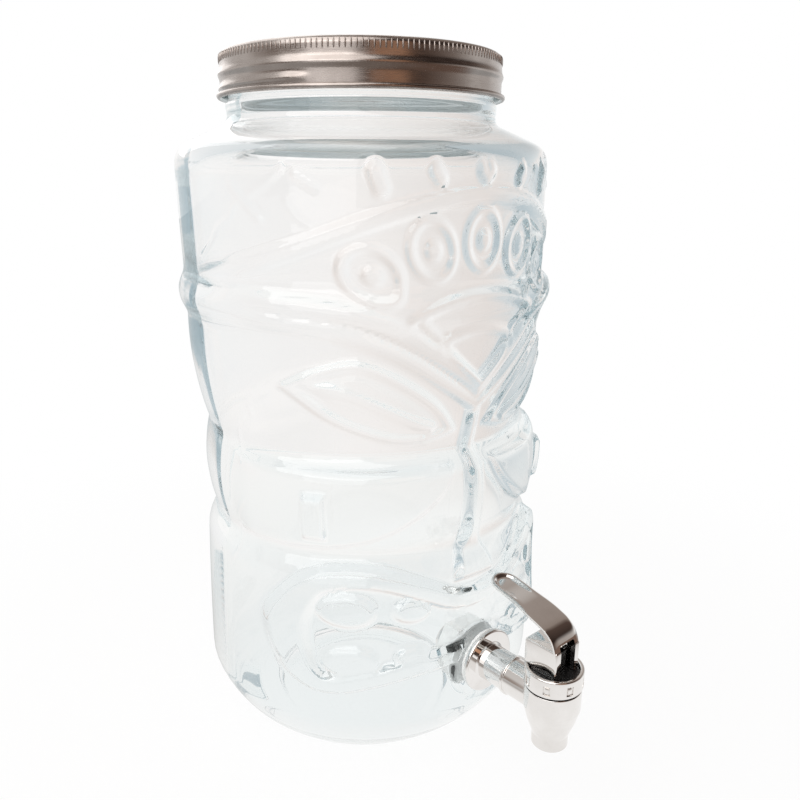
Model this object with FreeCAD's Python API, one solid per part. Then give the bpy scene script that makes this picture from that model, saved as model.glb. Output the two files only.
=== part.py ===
import FreeCAD, Part
import math
import os

# Glass drinks dispenser: a moulded jar with a carved mask on its front, a tin screw lid and a lever tap.
# Frame: origin at the middle of the foot, +Z up, the tap and the mask face -Y. Millimetres.

Vector = FreeCAD.Vector
ORIGIN = Vector(0, 0, 0)
UP = Vector(0, 0, 1)
FRONT = Vector(0, -1, 0)
ACROSS = Vector(1, 0, 0)

# Jar, from the foot upwards: how far each zone lies inside the widest radius, and its height
JAR_RADIUS = 85.4
FOOT_RADIUS = 54.0
FOOT_WIDTH = 9.0
PUSH_UP = 4.0
HEEL_HEIGHT = 34.0
HEEL_ROUND = 21.0
BELLY_IN = 4.2
BELLY_TOP_IN = 6.0
BELLY_HEIGHT = 66.0
WAIST_IN = 11.6
WAIST_HEIGHT = 13.0
WAIST_ROUND = 1.6
CHEEK_IN = 7.2
CHEEK_HEIGHT = 45.0
EYE_NOTCH_IN = 9.8
BROW_IN = 3.4
BROW_HEIGHT = 51.0
BROW_ROUND = 2.3
RIB_HEIGHT = 17.5
RIB_FLAT = 7.0
CROWN_IN = 3.0
CROWN_TOP_IN = 2.0
CROWN_HEIGHT = 45.5
SHOULDER_ROUND = 8.5
SHOULDER_RISE = 7.0
NECK_RADIUS = 59.7
NECK_BLEND = 3.0
NECK_HEIGHT = 10.3
NECK_BEAD = 1.1
NECK_BEAD_HEIGHT = 3.2
FINISH_STEP = 1.1
FINISH_HEIGHT = 17.1
WALL = 4.3
FLOOR = 11.0
INNER_HEEL = 18.0
FACE_STAND = 4.0
FACE_FOOT_IN = 1.0

# Mask on the front, raised in three steps
RELIEF_LOW = 1.5
RELIEF_MID = 2.4
RELIEF_HIGH = 4.6
HEADBAND_RADIUS = 132.5
HEADBAND_WIDTH = 6.3
HEADBAND_RISE = 46.0
HEADBAND_SIDE = 7.4
OVAL_COUNT = 5
OVAL_CIRCLE = 79.0
OVAL_STEP = 16.2
OVAL_LENGTH = 25.0
OVAL_BREADTH = 18.8
OVAL_BAND = 3.2
OVAL_DOT = 4.0
OVAL_GAP = 1.2
DASH_STEP = 21.6
DASH_WIDTH = 4.4
DASH_LENGTHS = (5.6, 8.0, 12.5)
DASH_TOP_GAP = 1.6
FAN_RADII = (62.0, 47.5)
FAN_HALF_ANGLES = (30.0, 22.0)
FAN_BAND = 3.2
BROW_SIDE = 6.4
BROW_BAND = 10.5
BROW_VEE = 9.0
BROW_VEE_RISE = 23.0
BROW_SAG = 9.0
EYE_INNER = 14.0
EYE_INNER_RISE = 9.0
EYE_LENGTH = 58.0
EYE_TILT = 21.0
EYE_UPPER_BULGE = 19.0
EYE_LOWER_BULGE = 12.5
EYE_RIM = 3.4
NOSE_RISE = 8.0
NOSE_BRIDGE = 4.5
NOSE_BASE = 18.0
NOSE_LENGTH = 62.0
NOSE_ROUND = 2.5
CHEEK_INNER = 16.0
CHEEK_SIDE = 11.4
CHEEK_TOP_GAP = 5.5
CHEEK_LOW_GAP = 4.0
CHEEK_SAG = 9.0
MOUTH_SIDE = 8.4
MOUTH_LOBE_HEIGHT = 58.0
MOUTH_LOBE_PLACE = 56.0
MOUTH_MIDDLE_HEIGHT = 33.0
MOUTH_DROP = 33.0
MOUTH_LIP = 7.0
TOOTH_PLACES = (58.5, 35.0)
TOOTH_WIDTHS = (18.0, 15.0)
TOOTH_HEIGHTS = (14.0, 9.0)
TOOTH_SPACING = 23.0
CHEEK_BAR_ANGLE = 53.5
CHEEK_BAR_WIDTH = 15.0
CHEEK_BAR_HEIGHT = 24.0

# Tin lid and its liner
LID_LOOSE = 2.7
LID_TIN = 0.6
LID_PANEL_SINK = 0.9
LID_CORNER = 1.8
LID_CURL = 1.1
LID_GROOVE = 0.9
LID_GAP = 1.0
LINER_THICK = 1.2
LINER_WIDTH = 6.5
LINER_GAP = 0.5

# Tap: a shank through the wall, a cup with the valve in it, and a nozzle below
TAP_HEIGHT = 56.0
TAP_LENGTH = 39.6
TAP_PAD_RADIUS = 16.0
TAP_PAD_SINK = 0.2
SHANK_RADIUS = 7.75
SHANK_CUP_RADIUS = 8.25
SHANK_RING_RADIUS = 8.8
SHANK_RING_WIDTH = 1.6
SHANK_RING_PLACE = 13.2
SHANK_TAIL = 14.0
SHANK_BORE = 4.0
HOLE_CLEARANCE = 0.5
FLANGE_RADIUS = 14.6
FLANGE_THICK = 2.5
FLANGE_EDGE = 0.7
WASHER_RADIUS = 13.8
WASHER_THICK = 1.5
INNER_WASHER_THICK = 1.8
WASHER_FIT = 0.2
NUT_FLATS = 26.0
NUT_THICK = 8.0
NUT_FIT = 0.15
CUP_RADIUS = 12.05
CUP_RISE = 16.8
CUP_SKIRT = 1.2
BAND_HEIGHT = 8.0
BAND_STAND = 0.35
NOZZLE_RADIUS = 7.75
NOZZLE_TAPER = 14.0
NOZZLE_TIP = 5.8
NOZZLE_BORE = 5.8
NOZZLE_EDGE = 0.8

# Valve inside the cup
CHAMBER_RADIUS = 9.2
CHAMBER_DEPTH = 6.0
SEAT_BORE = 5.0
MOUTH_RADIUS = 10.6
MOUTH_DEPTH = 6.0
BONNET_RECESS = 1.5
BONNET_FIT = 0.2
SEAL_THICK = 1.0
STEM_RADIUS = 2.3
STEM_FIT = 0.3
STEM_COLLAR_RADIUS = 5.2
STEM_COLLAR_THICK = 1.5
STEM_HEAD_WIDTH = 6.0
STEM_HEAD_DEPTH = 6.4
STEM_HEAD_TOP = 2.6
SEAT_CUP_RADIUS = 7.2
SEAT_CUP_THICK = 2.2
SEAT_CUP_SLEEVE = 3.6
SEAT_CUP_HEIGHT = 5.0
SPRING_WIRE = 0.8
SPRING_RADIUS = 3.7
SPRING_TURNS = 5
SPRING_GAP = 0.05

# Lever: a hollow foot on the rim, a front plate with a window and an arm back to a dished pad
PIN_RADIUS = 1.5
PIN_FIT = 0.1
PIN_LENGTH = 13.6
PIN_HEIGHT = 6.2
LEVER_FOOT_GAP = 0.3
LEVER_RIM_GAP = 0.4
LEVER_WIDTH = 15.4
LEVER_CHEEK = 3.0
LEVER_HEEL = 10.0
LEVER_TOE = 6.4
LEVER_FOOT_HEIGHT = 12.7
LEVER_SHELL = 2.4
LEVER_PLATE_HEIGHT = 9.0
LEVER_BEND_REACH = 11.4
LEVER_BEND_HEIGHT = 22.7
LEVER_BEND_BULGE = 3.0
LEVER_PAD_REACH = 34.0
LEVER_PAD_HEIGHT = 29.5
LEVER_PAD_SAG = 0.8
LEVER_WINDOW_TOP = 14.5
PAD_DISH_RADIUS = 24.0
PAD_DISH_DEPTH = 1.1
PAD_DISH_PLACE = 8.5

# Radii and levels that several pieces share
BELLY_RADIUS = JAR_RADIUS - BELLY_IN
BELLY_TOP_RADIUS = JAR_RADIUS - BELLY_TOP_IN
WAIST_RADIUS = JAR_RADIUS - WAIST_IN
CHEEK_RADIUS = JAR_RADIUS - CHEEK_IN
EYE_NOTCH_RADIUS = JAR_RADIUS - EYE_NOTCH_IN
BROW_RADIUS = JAR_RADIUS - BROW_IN
CROWN_RADIUS = JAR_RADIUS - CROWN_IN
CROWN_TOP_RADIUS = JAR_RADIUS - CROWN_TOP_IN
Z_BELLY = HEEL_HEIGHT
Z_BELLY_TOP = Z_BELLY + BELLY_HEIGHT
Z_WAIST = Z_BELLY_TOP + WAIST_HEIGHT
Z_EYE_NOTCH = Z_WAIST + CHEEK_HEIGHT
Z_BROW = Z_EYE_NOTCH + BROW_HEIGHT
Z_RIB = Z_BROW + RIB_HEIGHT / 2
Z_CROWN = Z_BROW + RIB_HEIGHT
Z_CROWN_TOP = Z_CROWN + CROWN_HEIGHT
Z_SHOULDER = Z_CROWN_TOP + SHOULDER_ROUND
Z_NECK = Z_SHOULDER + SHOULDER_RISE
Z_FINISH = Z_NECK + NECK_HEIGHT
Z_RIM = Z_FINISH + FINISH_HEIGHT
NECK_INNER = NECK_RADIUS - WALL
FINISH_RADIUS = NECK_RADIUS - FINISH_STEP
LID_SKIRT_RADIUS = FINISH_RADIUS + LID_LOOSE + LID_TIN
TAP_FACE = BELLY_RADIUS + FACE_STAND - TAP_PAD_SINK
TAP_REACH = TAP_FACE + TAP_LENGTH
FLANGE_BACK = TAP_FACE + WASHER_THICK
FLANGE_FRONT = FLANGE_BACK + FLANGE_THICK
TAP_INNER_FACE = math.sqrt((BELLY_RADIUS - WALL) ** 2 - WASHER_RADIUS ** 2) - INNER_WASHER_THICK
Z_CUP_RIM = TAP_HEIGHT + CUP_RISE
Z_LEDGE = Z_CUP_RIM - MOUTH_DEPTH
Z_SEAT = TAP_HEIGHT - CHAMBER_DEPTH
Z_BONNET = Z_LEDGE + SEAL_THICK
Z_COLLAR = Z_SEAT + SEAT_CUP_HEIGHT
Z_FOOT = Z_CUP_RIM - BONNET_RECESS + LEVER_FOOT_GAP
Z_PIN = Z_FOOT + PIN_HEIGHT
RELIEF_FRONT = JAR_RADIUS + FACE_STAND + RELIEF_HIGH


def at(radius, height):
    """Point of a half section: distance from the axis, height."""
    return Vector(radius, 0, height)


def line(start, end):
    """Straight edge."""
    return Part.LineSegment(start, end).toShape()


def arc(start, middle, end):
    """Round edge through three points."""
    return Part.Arc(start, middle, end).toShape()


def face_of(edges):
    """Flat face inside a closed run of edges."""
    return Part.Face(Part.Wire(edges))


def polygon(points):
    """Flat face inside straight sides."""
    return Part.Face(Part.makePolygon(points + points[:1]))


def slopes(points):
    """Run of straight edges from point to point."""
    return [line(start, end) for start, end in zip(points, points[1:])]


def spin(face):
    """Solid of revolution about the vertical axis."""
    return face.revolve(ORIGIN, UP, 360)


def ring(outer, inner, low, high):
    """Upright tube between two radii."""
    tube = Part.makeCylinder(outer, high - low, at(0, low))
    return tube.cut(Part.makeCylinder(inner, high - low, at(0, low)))


def to_front(shape, height):
    """Turn a shape built about +Z so that its axis runs out of the front at the given height."""
    turned = shape.copy()
    turned.rotate(ORIGIN, ACROSS, 90)
    turned.translate(Vector(0, 0, height))
    return turned


def to_cup(shape):
    """Move a shape built about the vertical axis to the middle of the tap's cup."""
    moved = shape.copy()
    moved.translate(FRONT * TAP_REACH)
    return moved


def lower_wall(stand):
    """Edges of the belly and cheeks up to the eye notch, moved outwards by stand."""
    belly = at(BELLY_RADIUS + stand, Z_BELLY)
    belly_top = at(BELLY_TOP_RADIUS + stand, Z_BELLY_TOP)
    waist_round = (BELLY_TOP_RADIUS + WAIST_RADIUS) / 2 + WAIST_ROUND
    waist_bend = at(waist_round + stand, Z_BELLY_TOP + WAIST_HEIGHT / 2)
    waist = at(WAIST_RADIUS + stand, Z_WAIST)
    cheek = at(CHEEK_RADIUS + stand, (Z_WAIST + Z_EYE_NOTCH) / 2)
    notch = at(EYE_NOTCH_RADIUS + stand, Z_EYE_NOTCH)
    return [line(belly, belly_top), arc(belly_top, waist_bend, waist), arc(waist, cheek, notch)]


def upper_wall(stand):
    """Edges of the brow, rib and crown above the eye notch, moved outwards by stand."""
    corners = [
        at(EYE_NOTCH_RADIUS + stand, Z_EYE_NOTCH),
        at((EYE_NOTCH_RADIUS + BROW_RADIUS) / 2 + BROW_ROUND + stand, Z_EYE_NOTCH + BROW_HEIGHT / 2),
        at(BROW_RADIUS + stand, Z_BROW),
        at(JAR_RADIUS + stand, Z_RIB - RIB_FLAT / 2),
        at(JAR_RADIUS + stand, Z_RIB + RIB_FLAT / 2),
        at(CROWN_RADIUS + stand, Z_CROWN),
        at(CROWN_TOP_RADIUS + stand, Z_CROWN_TOP),
    ]
    return slopes(corners)


def heel(foot):
    """Edges of the heel: a slope from the edge of the foot, rounded into the belly."""
    centre = at(BELLY_RADIUS - HEEL_ROUND, Z_BELLY)
    reach = (centre - foot).Length
    lean = math.atan2(Z_BELLY, centre.x - foot.x) - math.asin(HEEL_ROUND / reach)
    slope_end = foot + at(math.cos(lean), math.sin(lean)) * math.sqrt(reach ** 2 - HEEL_ROUND ** 2)
    middle = centre + ((slope_end - centre).normalize() + ACROSS).normalize() * HEEL_ROUND
    return [line(foot, slope_end), arc(slope_end, middle, at(BELLY_RADIUS, Z_BELLY))]


def jar_body():
    """Solid outside of the round jar, before it is hollowed."""
    foot = at(FOOT_RADIUS, 0)
    crown_top = at(CROWN_TOP_RADIUS, Z_CROWN_TOP)
    bend = SHOULDER_ROUND * math.sqrt(0.5)
    shoulder_bend = at(CROWN_TOP_RADIUS - SHOULDER_ROUND + bend, Z_CROWN_TOP + bend)
    shoulder = at(CROWN_TOP_RADIUS - SHOULDER_ROUND, Z_SHOULDER)
    neck_foot = at(NECK_RADIUS + NECK_BLEND, Z_NECK)
    neck = at(NECK_RADIUS, Z_NECK + NECK_BLEND)
    bead_low = at(NECK_RADIUS, Z_FINISH - NECK_BEAD_HEIGHT)
    bead = at(NECK_RADIUS + NECK_BEAD, Z_FINISH - NECK_BEAD_HEIGHT + NECK_BEAD)
    bead_top = at(NECK_RADIUS + NECK_BEAD, Z_FINISH - NECK_BEAD)
    finish = at(FINISH_RADIUS, Z_FINISH)
    rim = at(FINISH_RADIUS, Z_RIM)
    edges = [line(ORIGIN, foot)] + heel(foot) + lower_wall(0) + upper_wall(0)
    edges += slopes([crown_top, shoulder_bend, shoulder, neck_foot, neck])
    edges += slopes([neck, bead_low, bead, bead_top, finish, rim, at(0, Z_RIM), ORIGIN])
    return spin(face_of(edges))


def jar_face():
    """Lower face of the mask: the same wall, standing out of the front of the round body."""
    foot = at(FOOT_RADIUS - FACE_STAND - FACE_FOOT_IN, 0)
    notch = at(EYE_NOTCH_RADIUS, Z_EYE_NOTCH)
    edges = [line(ORIGIN, foot)] + heel(foot) + lower_wall(0)
    edges += [line(notch, at(0, Z_EYE_NOTCH)), line(at(0, Z_EYE_NOTCH), ORIGIN)]
    return forward(spin(face_of(edges)))


def forward(shape):
    """Shape moved out of the front by the stand of the lower face."""
    moved = shape.copy()
    moved.translate(FRONT * FACE_STAND)
    return moved


def push_up():
    """Shallow hollow under the foot, which leaves a ring to stand on."""
    return Part.makeCone(FOOT_RADIUS - FOOT_WIDTH, FOOT_RADIUS - FOOT_WIDTH - PUSH_UP, PUSH_UP)


def jar_cavity():
    """Space inside the jar, smoother than its outside, with a thick floor and a sloping inner heel."""
    inner = [
        at(0, FLOOR),
        at(BELLY_RADIUS - WALL - INNER_HEEL, FLOOR),
        at(BELLY_RADIUS - WALL - INNER_HEEL / 3, FLOOR + INNER_HEEL / 3),
        at(BELLY_RADIUS - WALL, FLOOR + INNER_HEEL),
        at(BELLY_TOP_RADIUS - WALL, Z_BELLY_TOP),
        at(WAIST_RADIUS - WALL, Z_WAIST),
        at(CHEEK_RADIUS - WALL, (Z_WAIST + Z_EYE_NOTCH) / 2),
        at(EYE_NOTCH_RADIUS - WALL, Z_EYE_NOTCH),
        at(BROW_RADIUS - WALL, Z_BROW),
        at(CROWN_TOP_RADIUS - WALL, Z_CROWN_TOP - WALL / 2),
        at(CROWN_TOP_RADIUS - SHOULDER_ROUND - WALL, Z_SHOULDER - WALL),
        at(NECK_INNER, Z_NECK + NECK_BLEND - WALL / 2),
        at(NECK_INNER, Z_RIM),
        at(0, Z_RIM),
    ]
    return spin(polygon(inner))


def skin(stand):
    """Solid inside the wall moved outwards, which gives a raised motif its face."""
    edges = lower_wall(stand) + upper_wall(stand)
    bottom = at(0, Z_BELLY)
    top = at(0, Z_CROWN_TOP)
    edges += slopes([edges[-1].Vertexes[-1].Point, top, bottom, edges[0].Vertexes[0].Point])
    return spin(face_of(edges))


def front(across, height):
    """Point of the mask's front view."""
    return Vector(across, 0, height)


def prism(face):
    """Front view face pushed out through the front half of the jar."""
    return face.extrude(FRONT * RELIEF_FRONT)


def both_sides(shape):
    """A motif and its mirror image."""
    return [shape, shape.mirror(ORIGIN, ACROSS)]


def turned_about(shape, centre, degrees):
    """Front view shape turned about a point, clockwise as seen from the front."""
    moved = shape.copy()
    moved.rotate(centre, Vector(0, 1, 0), degrees)
    return moved


def slot(width, height, centre):
    """Upright rounded bar in the front view."""
    half = width / 2
    straight = (height - width) / 2
    right = centre + Vector(half, 0, 0)
    left = centre - Vector(half, 0, 0)
    rise = Vector(0, 0, straight)
    cap = Vector(0, 0, straight + half)
    return face_of([
        line(right - rise, right + rise),
        arc(right + rise, centre + cap, left + rise),
        line(left + rise, left - rise),
        arc(left - rise, centre - cap, right - rise),
    ])


def band_arc(centre, radius, width, half_angle):
    """Part of a flat ring, evenly to both sides of the vertical."""
    def spot(size, degrees):
        return centre + Vector(math.sin(math.radians(degrees)), 0, math.cos(math.radians(degrees))) * size
    inner = radius - width
    return face_of([
        arc(spot(radius, -half_angle), spot(radius, 0), spot(radius, half_angle)),
        line(spot(radius, half_angle), spot(inner, half_angle)),
        arc(spot(inner, half_angle), spot(inner, 0), spot(inner, -half_angle)),
        line(spot(inner, -half_angle), spot(radius, -half_angle)),
    ])


def headband():
    """Arched band over the forehead."""
    centre = front(0, Z_RIB + HEADBAND_RISE - HEADBAND_RADIUS)
    half_angle = math.degrees(math.asin((JAR_RADIUS - HEADBAND_SIDE) / HEADBAND_RADIUS))
    return [band_arc(centre, HEADBAND_RADIUS, HEADBAND_WIDTH, half_angle)]


def bridge():
    """Point on the bridge of the nose about which the forehead's motifs are fanned."""
    return front(0, Z_RIB + HEADBAND_RISE - HEADBAND_WIDTH - OVAL_GAP - OVAL_LENGTH / 2 - OVAL_CIRCLE)


def ovals():
    """Row of ovals under the headband, each a raised ring with a dot."""
    centre = bridge() + UP * OVAL_CIRCLE
    band = slot(OVAL_BREADTH, OVAL_LENGTH, centre)
    band = band.cut(slot(OVAL_BREADTH - 2 * OVAL_BAND, OVAL_LENGTH - 2 * OVAL_BAND, centre))
    dot = face_of([Part.Circle(centre, FRONT, OVAL_DOT / 2).toShape()])
    faces = []
    for index in range(OVAL_COUNT):
        lean = (index - (OVAL_COUNT - 1) / 2) * OVAL_STEP
        faces += [turned_about(band, bridge(), lean), turned_about(dot, bridge(), lean)]
    return faces


def dashes():
    """Upright dashes between the headband and the shoulder."""
    top = Z_CROWN_TOP - DASH_TOP_GAP
    faces = []
    for index, length in enumerate(DASH_LENGTHS):
        bar = slot(DASH_WIDTH, length, front(index * DASH_STEP, top - length / 2))
        faces += both_sides(bar) if index else [bar]
    return faces


def fan():
    """Two arcs on the forehead, one inside the other."""
    arcs = zip(FAN_RADII, FAN_HALF_ANGLES)
    return [band_arc(bridge(), radius, FAN_BAND, half_angle) for radius, half_angle in arcs]


def brows():
    """Brow bands from the side rib down to the bridge of the nose."""
    vee_top = front(0, Z_EYE_NOTCH + BROW_VEE_RISE)
    vee_low = vee_top - UP * BROW_VEE
    outer_top = front(JAR_RADIUS - BROW_SIDE, Z_RIB + BROW_BAND / 2)
    outer_low = front(JAR_RADIUS - BROW_SIDE, Z_RIB - BROW_BAND / 2)
    run = outer_top - vee_top
    rise = Vector(-run.z, 0, run.x).normalize() * BROW_SAG
    band = face_of([
        arc(vee_top, (vee_top + outer_top) / 2 + rise, outer_top),
        line(outer_top, outer_low),
        arc(outer_low, (vee_low + outer_low) / 2 + rise, vee_low),
        line(vee_low, vee_top),
    ])
    return both_sides(band)


def eyes():
    """Raised rims of the half-closed eyes."""
    inner = front(EYE_INNER, Z_EYE_NOTCH + EYE_INNER_RISE)
    outer = inner + Vector(EYE_LENGTH, 0, EYE_TILT)
    middle = (inner + outer) / 2
    upper = middle + UP * EYE_UPPER_BULGE
    lower = middle - UP * EYE_LOWER_BULGE
    almond = Part.Wire([arc(inner, upper, outer), arc(outer, lower, inner)])
    rim = Part.Face(almond).cut(Part.Face(almond.makeOffset2D(-EYE_RIM)))
    return both_sides(rim)


def nose():
    """Wedge of the nose, widest at its base."""
    top = Z_EYE_NOTCH + NOSE_RISE
    low = top - NOSE_LENGTH
    corner = front(NOSE_BASE / 2, low)
    other = front(-NOSE_BASE / 2, low)
    bridge_side = front(NOSE_BRIDGE / 2, top)
    bridge_other = front(-NOSE_BRIDGE / 2, top)
    return [face_of([
        line(bridge_side, corner),
        arc(corner, front(0, low - NOSE_ROUND), other),
        line(other, bridge_other),
        line(bridge_other, bridge_side),
    ])]


def cheeks():
    """Half-moon cheeks beside the nose."""
    top = Z_EYE_NOTCH - CHEEK_TOP_GAP
    low = Z_WAIST + CHEEK_LOW_GAP
    inner = front(CHEEK_INNER, top)
    reach = JAR_RADIUS - CHEEK_SIDE
    outer = front(reach, low)
    run = outer - inner
    sag = Vector(run.z, 0, -run.x).normalize() * CHEEK_SAG
    moon = face_of([
        line(inner, front(reach, top)),
        line(front(reach, top), outer),
        arc(outer, (inner + outer) / 2 + sag, inner),
    ])
    return both_sides(moon)


def mouth_middle():
    """Height of the middle of the mouth."""
    return Z_WAIST - MOUTH_DROP


def mouth_outline(inset):
    """Closed curve round the mouth, with a lobe on each side."""
    middle = front(0, mouth_middle())
    lobe = MOUTH_LOBE_HEIGHT / 2 - inset
    narrow = MOUTH_MIDDLE_HEIGHT / 2 - inset
    bow = (lobe + 2 * narrow) / 3
    edges = []
    for side in (1, -1):
        corner = middle + Vector(side * MOUTH_LOBE_PLACE / 2, 0, side * bow)
        other = middle + Vector(side * MOUTH_LOBE_PLACE / 2, 0, -side * bow)
        top = middle + Vector(side * MOUTH_LOBE_PLACE, 0, side * lobe)
        low = middle + Vector(side * MOUTH_LOBE_PLACE, 0, -side * lobe)
        end = middle + ACROSS * (side * (JAR_RADIUS - MOUTH_SIDE - inset))
        across = middle + Vector(-side * MOUTH_LOBE_PLACE / 2, 0, -side * bow)
        edges += [arc(corner, top, end), arc(end, low, other)]
        edges += [arc(other, middle - UP * (side * narrow), across)]
    return face_of(edges)


def mouth():
    """Lip band round the open mouth."""
    return [mouth_outline(0).cut(mouth_outline(MOUTH_LIP))]


def teeth():
    """Rounded teeth in two rows."""
    faces = []
    for place, width, height in zip(TOOTH_PLACES, TOOTH_WIDTHS, TOOTH_HEIGHTS):
        for row in (-0.5, 0.5):
            middle = front(place, mouth_middle() + row * TOOTH_SPACING)
            faces += both_sides(turned_about(slot(height, width, middle), middle, 90))
    return faces


def cheek_bars():
    """Upright bars on the cheeks, square to the wall."""
    middle = (Z_WAIST + Z_EYE_NOTCH) / 2
    bar = Part.makeBox(CHEEK_BAR_WIDTH, RELIEF_FRONT, CHEEK_BAR_HEIGHT)
    bar.translate(Vector(-CHEEK_BAR_WIDTH / 2, -RELIEF_FRONT, middle - CHEEK_BAR_HEIGHT / 2))
    bar.rotate(ORIGIN, UP, CHEEK_BAR_ANGLE)
    return both_sides(bar)


def raised(wall, solids):
    """Motifs of one height, with faces that follow a wall."""
    return wall.common(solids[0].multiFuse(solids[1:]))


def glass_jar():
    """Moulded jar: body, mask, a flat for the tap, the space inside and the tap hole."""
    forehead = [prism(face) for face in ovals() + dashes() + fan()]
    bands = [prism(face) for face in headband() + brows() + eyes()]
    lower = [prism(face) for face in teeth() + cheeks()]
    lips = [prism(face) for face in mouth()] + cheek_bars()
    body = jar_body().multiFuse([
        jar_face(),
        raised(skin(RELIEF_LOW), forehead),
        raised(skin(RELIEF_MID), bands),
        raised(forward(skin(RELIEF_LOW)), lower),
        raised(forward(skin(RELIEF_MID)), lips),
        forward(skin(RELIEF_HIGH)).common(prism(nose()[0])),
    ])
    body = body.cut(to_front(Part.makeCylinder(TAP_PAD_RADIUS, RELIEF_FRONT, at(0, TAP_FACE)), TAP_HEIGHT))
    body = body.fuse(to_front(Part.makeCylinder(TAP_PAD_RADIUS, TAP_FACE), TAP_HEIGHT))
    body = body.cut(jar_cavity()).cut(push_up())
    hole = Part.makeCylinder(SHANK_RADIUS + HOLE_CLEARANCE, RELIEF_FRONT)
    return body.cut(to_front(hole, TAP_HEIGHT)).removeSplitter()


def lid_levels():
    """Heights of the lid: the liner's top, the panel, the top edge and the lower edge."""
    liner_top = Z_RIM + LINER_THICK
    panel = liner_top + LID_TIN
    top = panel + LID_PANEL_SINK
    low = Z_FINISH + LID_GAP
    return liner_top, panel, top, low


def lid_cap():
    """Pressed tin lid: sunk panel, rounded corner, grooved skirt and rolled lower edge."""
    liner_top, panel, top, low = lid_levels()
    outer = LID_SKIRT_RADIUS
    inner = outer - LID_TIN
    corner_in = outer - LID_CORNER
    bend = LID_CORNER * (1 - math.sqrt(0.5))
    panel_edge = corner_in - LID_CORNER - LID_PANEL_SINK
    groove = low + 2.6 * LID_CURL + LID_GROOVE
    edges = [
        line(at(0, liner_top), at(inner - LID_PANEL_SINK, liner_top)),
        line(at(inner - LID_PANEL_SINK, liner_top), at(inner, liner_top - LID_PANEL_SINK)),
        line(at(inner, liner_top - LID_PANEL_SINK), at(inner, groove + LID_GROOVE)),
        line(at(inner, groove + LID_GROOVE), at(inner - LID_GROOVE, groove)),
        line(at(inner - LID_GROOVE, groove), at(inner, groove - LID_GROOVE)),
        line(at(inner, groove - LID_GROOVE), at(inner, low + LID_CURL)),
        arc(at(inner, low + LID_CURL), at(inner + LID_CURL, low), at(inner + 2 * LID_CURL, low + LID_CURL)),
        arc(at(inner + 2 * LID_CURL, low + LID_CURL), at(inner + 1.7 * LID_CURL, low + 1.7 * LID_CURL),
            at(outer, low + 2 * LID_CURL)),
        line(at(outer, low + 2 * LID_CURL), at(outer, groove - LID_GROOVE)),
        line(at(outer, groove - LID_GROOVE), at(outer - LID_GROOVE, groove)),
        line(at(outer - LID_GROOVE, groove), at(outer, groove + LID_GROOVE)),
        line(at(outer, groove + LID_GROOVE), at(outer, top - LID_CORNER)),
        line(at(outer, top - LID_CORNER), at(outer - bend, top - bend)),
        line(at(outer - bend, top - bend), at(corner_in, top)),
        line(at(corner_in, top), at(panel_edge + LID_PANEL_SINK, top)),
        line(at(panel_edge + LID_PANEL_SINK, top), at(panel_edge, panel)),
        line(at(panel_edge, panel), at(0, panel)),
        line(at(0, panel), at(0, liner_top)),
    ]
    return spin(face_of(edges))


def lid_liner():
    """Soft ring that the lid presses on the glass rim."""
    outer = LID_SKIRT_RADIUS - LID_TIN - LID_PANEL_SINK - LINER_GAP
    return ring(outer, outer - LINER_WIDTH, Z_RIM, Z_RIM + LINER_THICK)


def tap_body():
    """Shank with its flange, cup and nozzle in one moulding, bored through to the valve seat."""
    tail = TAP_INNER_FACE - SHANK_TAIL
    ring_place = FLANGE_FRONT + SHANK_RING_PLACE
    shank = Part.makeCylinder(SHANK_RADIUS, ring_place - tail, at(0, tail))
    collar = Part.makeCylinder(SHANK_RING_RADIUS, SHANK_RING_WIDTH, at(0, ring_place))
    collar = collar.makeFillet(SHANK_RING_WIDTH / 4, [collar.Edges[0], collar.Edges[2]])
    run = Part.makeCylinder(SHANK_CUP_RADIUS, TAP_REACH - ring_place, at(0, ring_place))
    flange = Part.makeCylinder(FLANGE_RADIUS, FLANGE_THICK, at(0, FLANGE_BACK))
    flange = flange.makeFillet(FLANGE_EDGE, [flange.Edges[0]])
    arm = to_front(shank.multiFuse([collar, run, flange]), TAP_HEIGHT)
    body = arm.fuse(to_cup(cup_outside()))
    body = body.cut(to_cup(cup_inside()))
    bore = Part.makeCylinder(SHANK_BORE, TAP_REACH - tail, at(0, tail))
    return body.cut(to_front(bore, TAP_HEIGHT)).removeSplitter()


def cup_outside():
    """Outside of the cup and nozzle, about the vertical axis."""
    low = TAP_HEIGHT - CUP_SKIRT
    tip = low - NOZZLE_TAPER
    end = tip - NOZZLE_TIP
    band = Z_CUP_RIM - BAND_HEIGHT
    bulge = at((CUP_RADIUS + NOZZLE_RADIUS) / 2 + NOZZLE_EDGE, low - NOZZLE_TAPER * 0.42)
    edges = [
        line(at(0, end), at(NOZZLE_RADIUS - NOZZLE_EDGE, end)),
        line(at(NOZZLE_RADIUS - NOZZLE_EDGE, end), at(NOZZLE_RADIUS, end + NOZZLE_EDGE)),
        line(at(NOZZLE_RADIUS, end + NOZZLE_EDGE), at(NOZZLE_RADIUS, tip)),
        line(at(NOZZLE_RADIUS, tip), bulge),
        arc(bulge, (bulge + at(CUP_RADIUS, low)) / 2 + Vector(1, 0, -0.5) * NOZZLE_EDGE, at(CUP_RADIUS, low)),
        line(at(CUP_RADIUS, low), at(CUP_RADIUS, band)),
        line(at(CUP_RADIUS, band), at(CUP_RADIUS + BAND_STAND, band)),
        line(at(CUP_RADIUS + BAND_STAND, band), at(CUP_RADIUS + BAND_STAND, Z_CUP_RIM)),
        line(at(CUP_RADIUS + BAND_STAND, Z_CUP_RIM), at(0, Z_CUP_RIM)),
        line(at(0, Z_CUP_RIM), at(0, end)),
    ]
    return spin(face_of(edges))


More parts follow.
